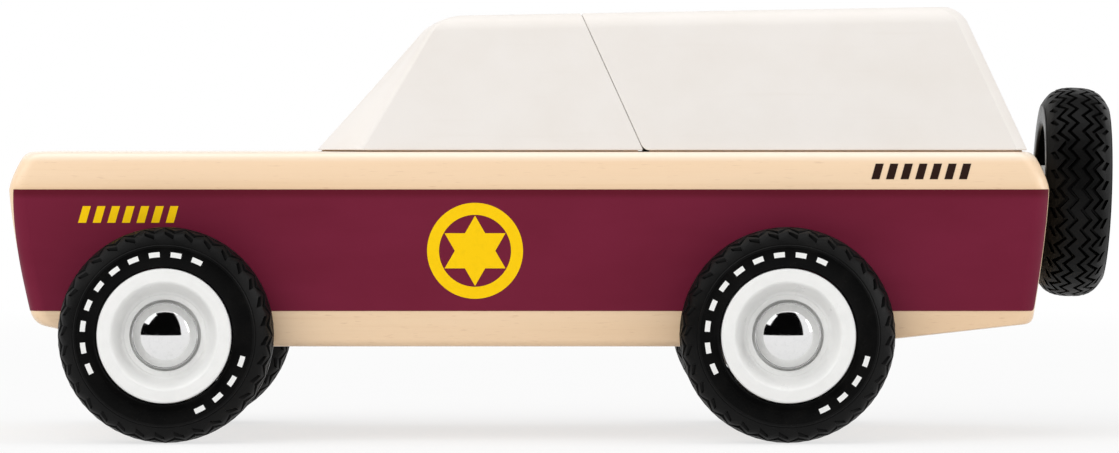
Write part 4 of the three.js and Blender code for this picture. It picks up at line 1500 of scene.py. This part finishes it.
# A soft lamp in metres: where it hangs, its width and depth, and whether reflections show it
Lamp = namedtuple("Lamp", "place size in_reflections", defaults=(True,))
LAMPS = {
    "top": Lamp((0.0, 0.0, 1.3), (1.4, 1.0)),
    "front": Lamp((-0.6, -1.05, 1.0), (1.2, 1.0), False),
    "nose": Lamp((-1.06, -0.3, 1.03), (1.0, 0.85)),
    "tail": Lamp((1.4, -0.2, 0.6), (0.8, 0.8)),
}

# The floor's glow: distances from its middle between which it grows, and its part under the car
GLOW_NEAR, GLOW_FAR = 150 * MM, 700 * MM
GLOW_UNDER = 0.7

# Speckles of the floor, and how much of its colour the darkest of them have
FLOOR_SPECKLE = Noise((40, 40, 40), 2)
SPECKLE_SHADE = 0.97
CARD_BLACK = (0.003, 0.003, 0.003, 1)

# How deep the camera sees, in halves of the floor's side
VIEW_DEPTH = 4


def computed(tree, first, second, operation):
    """The result of a named operation on two outputs."""
    return add_node(tree, "ShaderNodeMath", {0: first, 1: second}, operation=operation).outputs[0]


def backdrop_rays(tree):
    """One where the camera, a reflection or a clear surface looks at the backdrop."""
    path = add_node(tree, "ShaderNodeLightPath").outputs
    seen = computed(tree, path["Is Camera Ray"], path["Is Glossy Ray"], "MAXIMUM")
    return computed(tree, seen, path["Is Transmission Ray"], "MAXIMUM")


def mixed_surface(tree, part, first, second, output):
    """Mixes two shaders into the surface of an output node."""
    inputs = {0: part, 1: first.outputs[0], 2: second.outputs[0]}
    mix = add_node(tree, "ShaderNodeMixShader", inputs)
    add_node(tree, output, {"Surface": mix.outputs[0]})


def floor_finish(colours):
    """Pale matt floor that shows white to the camera and keeps a soft shadow."""
    material = new_finish("studio_floor")
    tree = material.node_tree
    tree.nodes.clear()
    speckle = source_value(tree, FLOOR_SPECKLE)
    shaded = darker(colours.floor, SPECKLE_SHADE)
    base = blended(tree, speckle, (*colours.floor, 1), (*shaded, 1))
    matt = add_node(tree, "ShaderNodeBsdfDiffuse", {"Color": base})
    glow = add_node(tree, "ShaderNodeEmission", {"Color": WHITE, "Strength": 1.0})
    away = add_node(tree, "ShaderNodeVectorMath", {0: own_place(tree)}, operation="LENGTH")
    fade = fitted(tree, away.outputs["Value"], GLOW_NEAR, GLOW_FAR, GLOW_UNDER, 1.0)
    part = computed(tree, fade, backdrop_rays(tree), "MULTIPLY")
    mixed_surface(tree, part, matt, glow, "ShaderNodeOutputMaterial")
    return material


def area_light(name, lamp, aim, power):
    light = bpy.data.lights.new(name, "AREA")
    light.shape = "RECTANGLE"
    light.size, light.size_y = lamp.size
    light.energy = power
    piece = bpy.data.objects.new(name, light)
    piece.location = lamp.place
    piece.rotation_euler = (aim - Vector(lamp.place)).to_track_quat("-Z", "Y").to_euler()
    piece.visible_camera = False
    piece.visible_glossy = lamp.in_reflections
    bpy.context.scene.collection.objects.link(piece)


def stage_sheet(name, corners, finish):
    sheet = new_piece(name, corners, [(0, 1, 2, 3)], finish)
    return sheet


class TOYCAR_OT_stage(bpy.types.Operator):
    """Sets up the floor, the soft studio light and the camera"""

    bl_idname = "toycar.stage"
    bl_label = "Studio"

    def execute(self, context):
        settings = context.scene.toy_car
        self.floor(settings)
        self.dark_cards(settings.stage)
        self.light(context.scene, settings.stage)
        self.camera(context.scene, settings.stage)
        context.scene.view_settings.view_transform = "Standard"
        return {"FINISHED"}

    def floor(self, settings):
        half = settings.stage.floor_half
        corners = [(-half, -half, 0), (half, -half, 0), (half, half, 0), (-half, half, 0)]
        stage_sheet("studio_floor", corners, floor_finish(settings.colours))

    def dark_cards(self, stage):
        """Dark cards before and beyond the car, which only reflections show, for the plating."""
        material = new_finish("dark_card")
        shader = material.node_tree.nodes["Principled BSDF"]
        shader.inputs["Base Color"].default_value = CARD_BLACK
        shader.inputs["Specular IOR Level"].default_value = 0.0
        top = stage.card_top
        cards = (("near_dark_card", -1, 0.0), ("far_dark_card", 1, stage.card_raise))
        for name, side, foot in cards:
            y = side * stage.card_distance
            left, right = -side * stage.card_left, -side * stage.card_right
            corners = [(left, y, foot), (right, y, foot), (right, y, top), (left, y, top)]
            card = stage_sheet(name, corners, material)
            for ray in ("camera", "diffuse", "transmission", "shadow"):
                setattr(card, f"visible_{ray}", False)

    def light(self, scene, stage):
        scene.world = bpy.data.worlds.new("studio_world")
        scene.world.use_nodes = True
        tree = scene.world.node_tree
        tree.nodes.clear()
        fill, white = (
            add_node(tree, "ShaderNodeBackground", {"Color": WHITE, "Strength": strength})
            for strength in (stage.fill, 1.0)
        )
        mixed_surface(tree, backdrop_rays(tree), fill, white, "ShaderNodeOutputWorld")
        middle = Vector((0.0, 0.0, CAD_BOX[1].z / 2))
        for name, lamp in LAMPS.items():
            area_light(f"{name}_light", lamp, middle, getattr(stage, f"{name}_power"))

    def camera(self, scene, stage):
        lens = bpy.data.cameras.new("photo_camera")
        lens.lens = stage.lens
        lens.clip_end = VIEW_DEPTH * stage.floor_half
        camera = bpy.data.objects.new("photo_camera", lens)
        camera.location = (BODY_LOW.x + stage.offset, -stage.distance, stage.height)
        camera.rotation_euler = (QUARTER - stage.tilt, 0.0, 0.0)
        scene.collection.objects.link(camera)
        scene.camera = camera


OPERATORS = (
    TOYCAR_OT_stage,
    TOYCAR_OT_body,
    TOYCAR_OT_side_paint,
    TOYCAR_OT_cab,
    TOYCAR_OT_hardtop,
    TOYCAR_OT_tyres,
    TOYCAR_OT_rims,
    TOYCAR_OT_hub_caps,
    TOYCAR_OT_magnets,
    TOYCAR_OT_carriers,
    TOYCAR_OT_inner_pieces,
)


class TOYCAR_PT_panel(bpy.types.Panel):
    """Lists the pieces of the toy car in the order of making"""

    bl_idname = "TOYCAR_PT_panel"
    bl_label = "Wooden Toy Car"
    bl_space_type = "VIEW_3D"
    bl_region_type = "UI"
    bl_category = "Toy Car"

    def draw(self, context):
        for operator in OPERATORS:
            self.layout.operator(operator.bl_idname)


GROUPS = (
    BodySizes,
    TrimSizes,
    CabSizes,
    TyreSizes,
    RimSizes,
    HardwareSizes,
    FinishColours,
    StageSizes,
    ToyCarSettings,
)
CLASSES = (*GROUPS, *OPERATORS, TOYCAR_PT_panel)


def register():
    for item in CLASSES:
        bpy.utils.register_class(item)
    bpy.types.Scene.toy_car = PointerProperty(type=ToyCarSettings)


def unregister():
    del bpy.types.Scene.toy_car
    for item in reversed(CLASSES):
        bpy.utils.unregister_class(item)


def main():
    register()
    for operator in OPERATORS:
        group, name = operator.bl_idname.split(".")
        getattr(getattr(bpy.ops, group), name)()


if __name__ == "__main__":
    main()
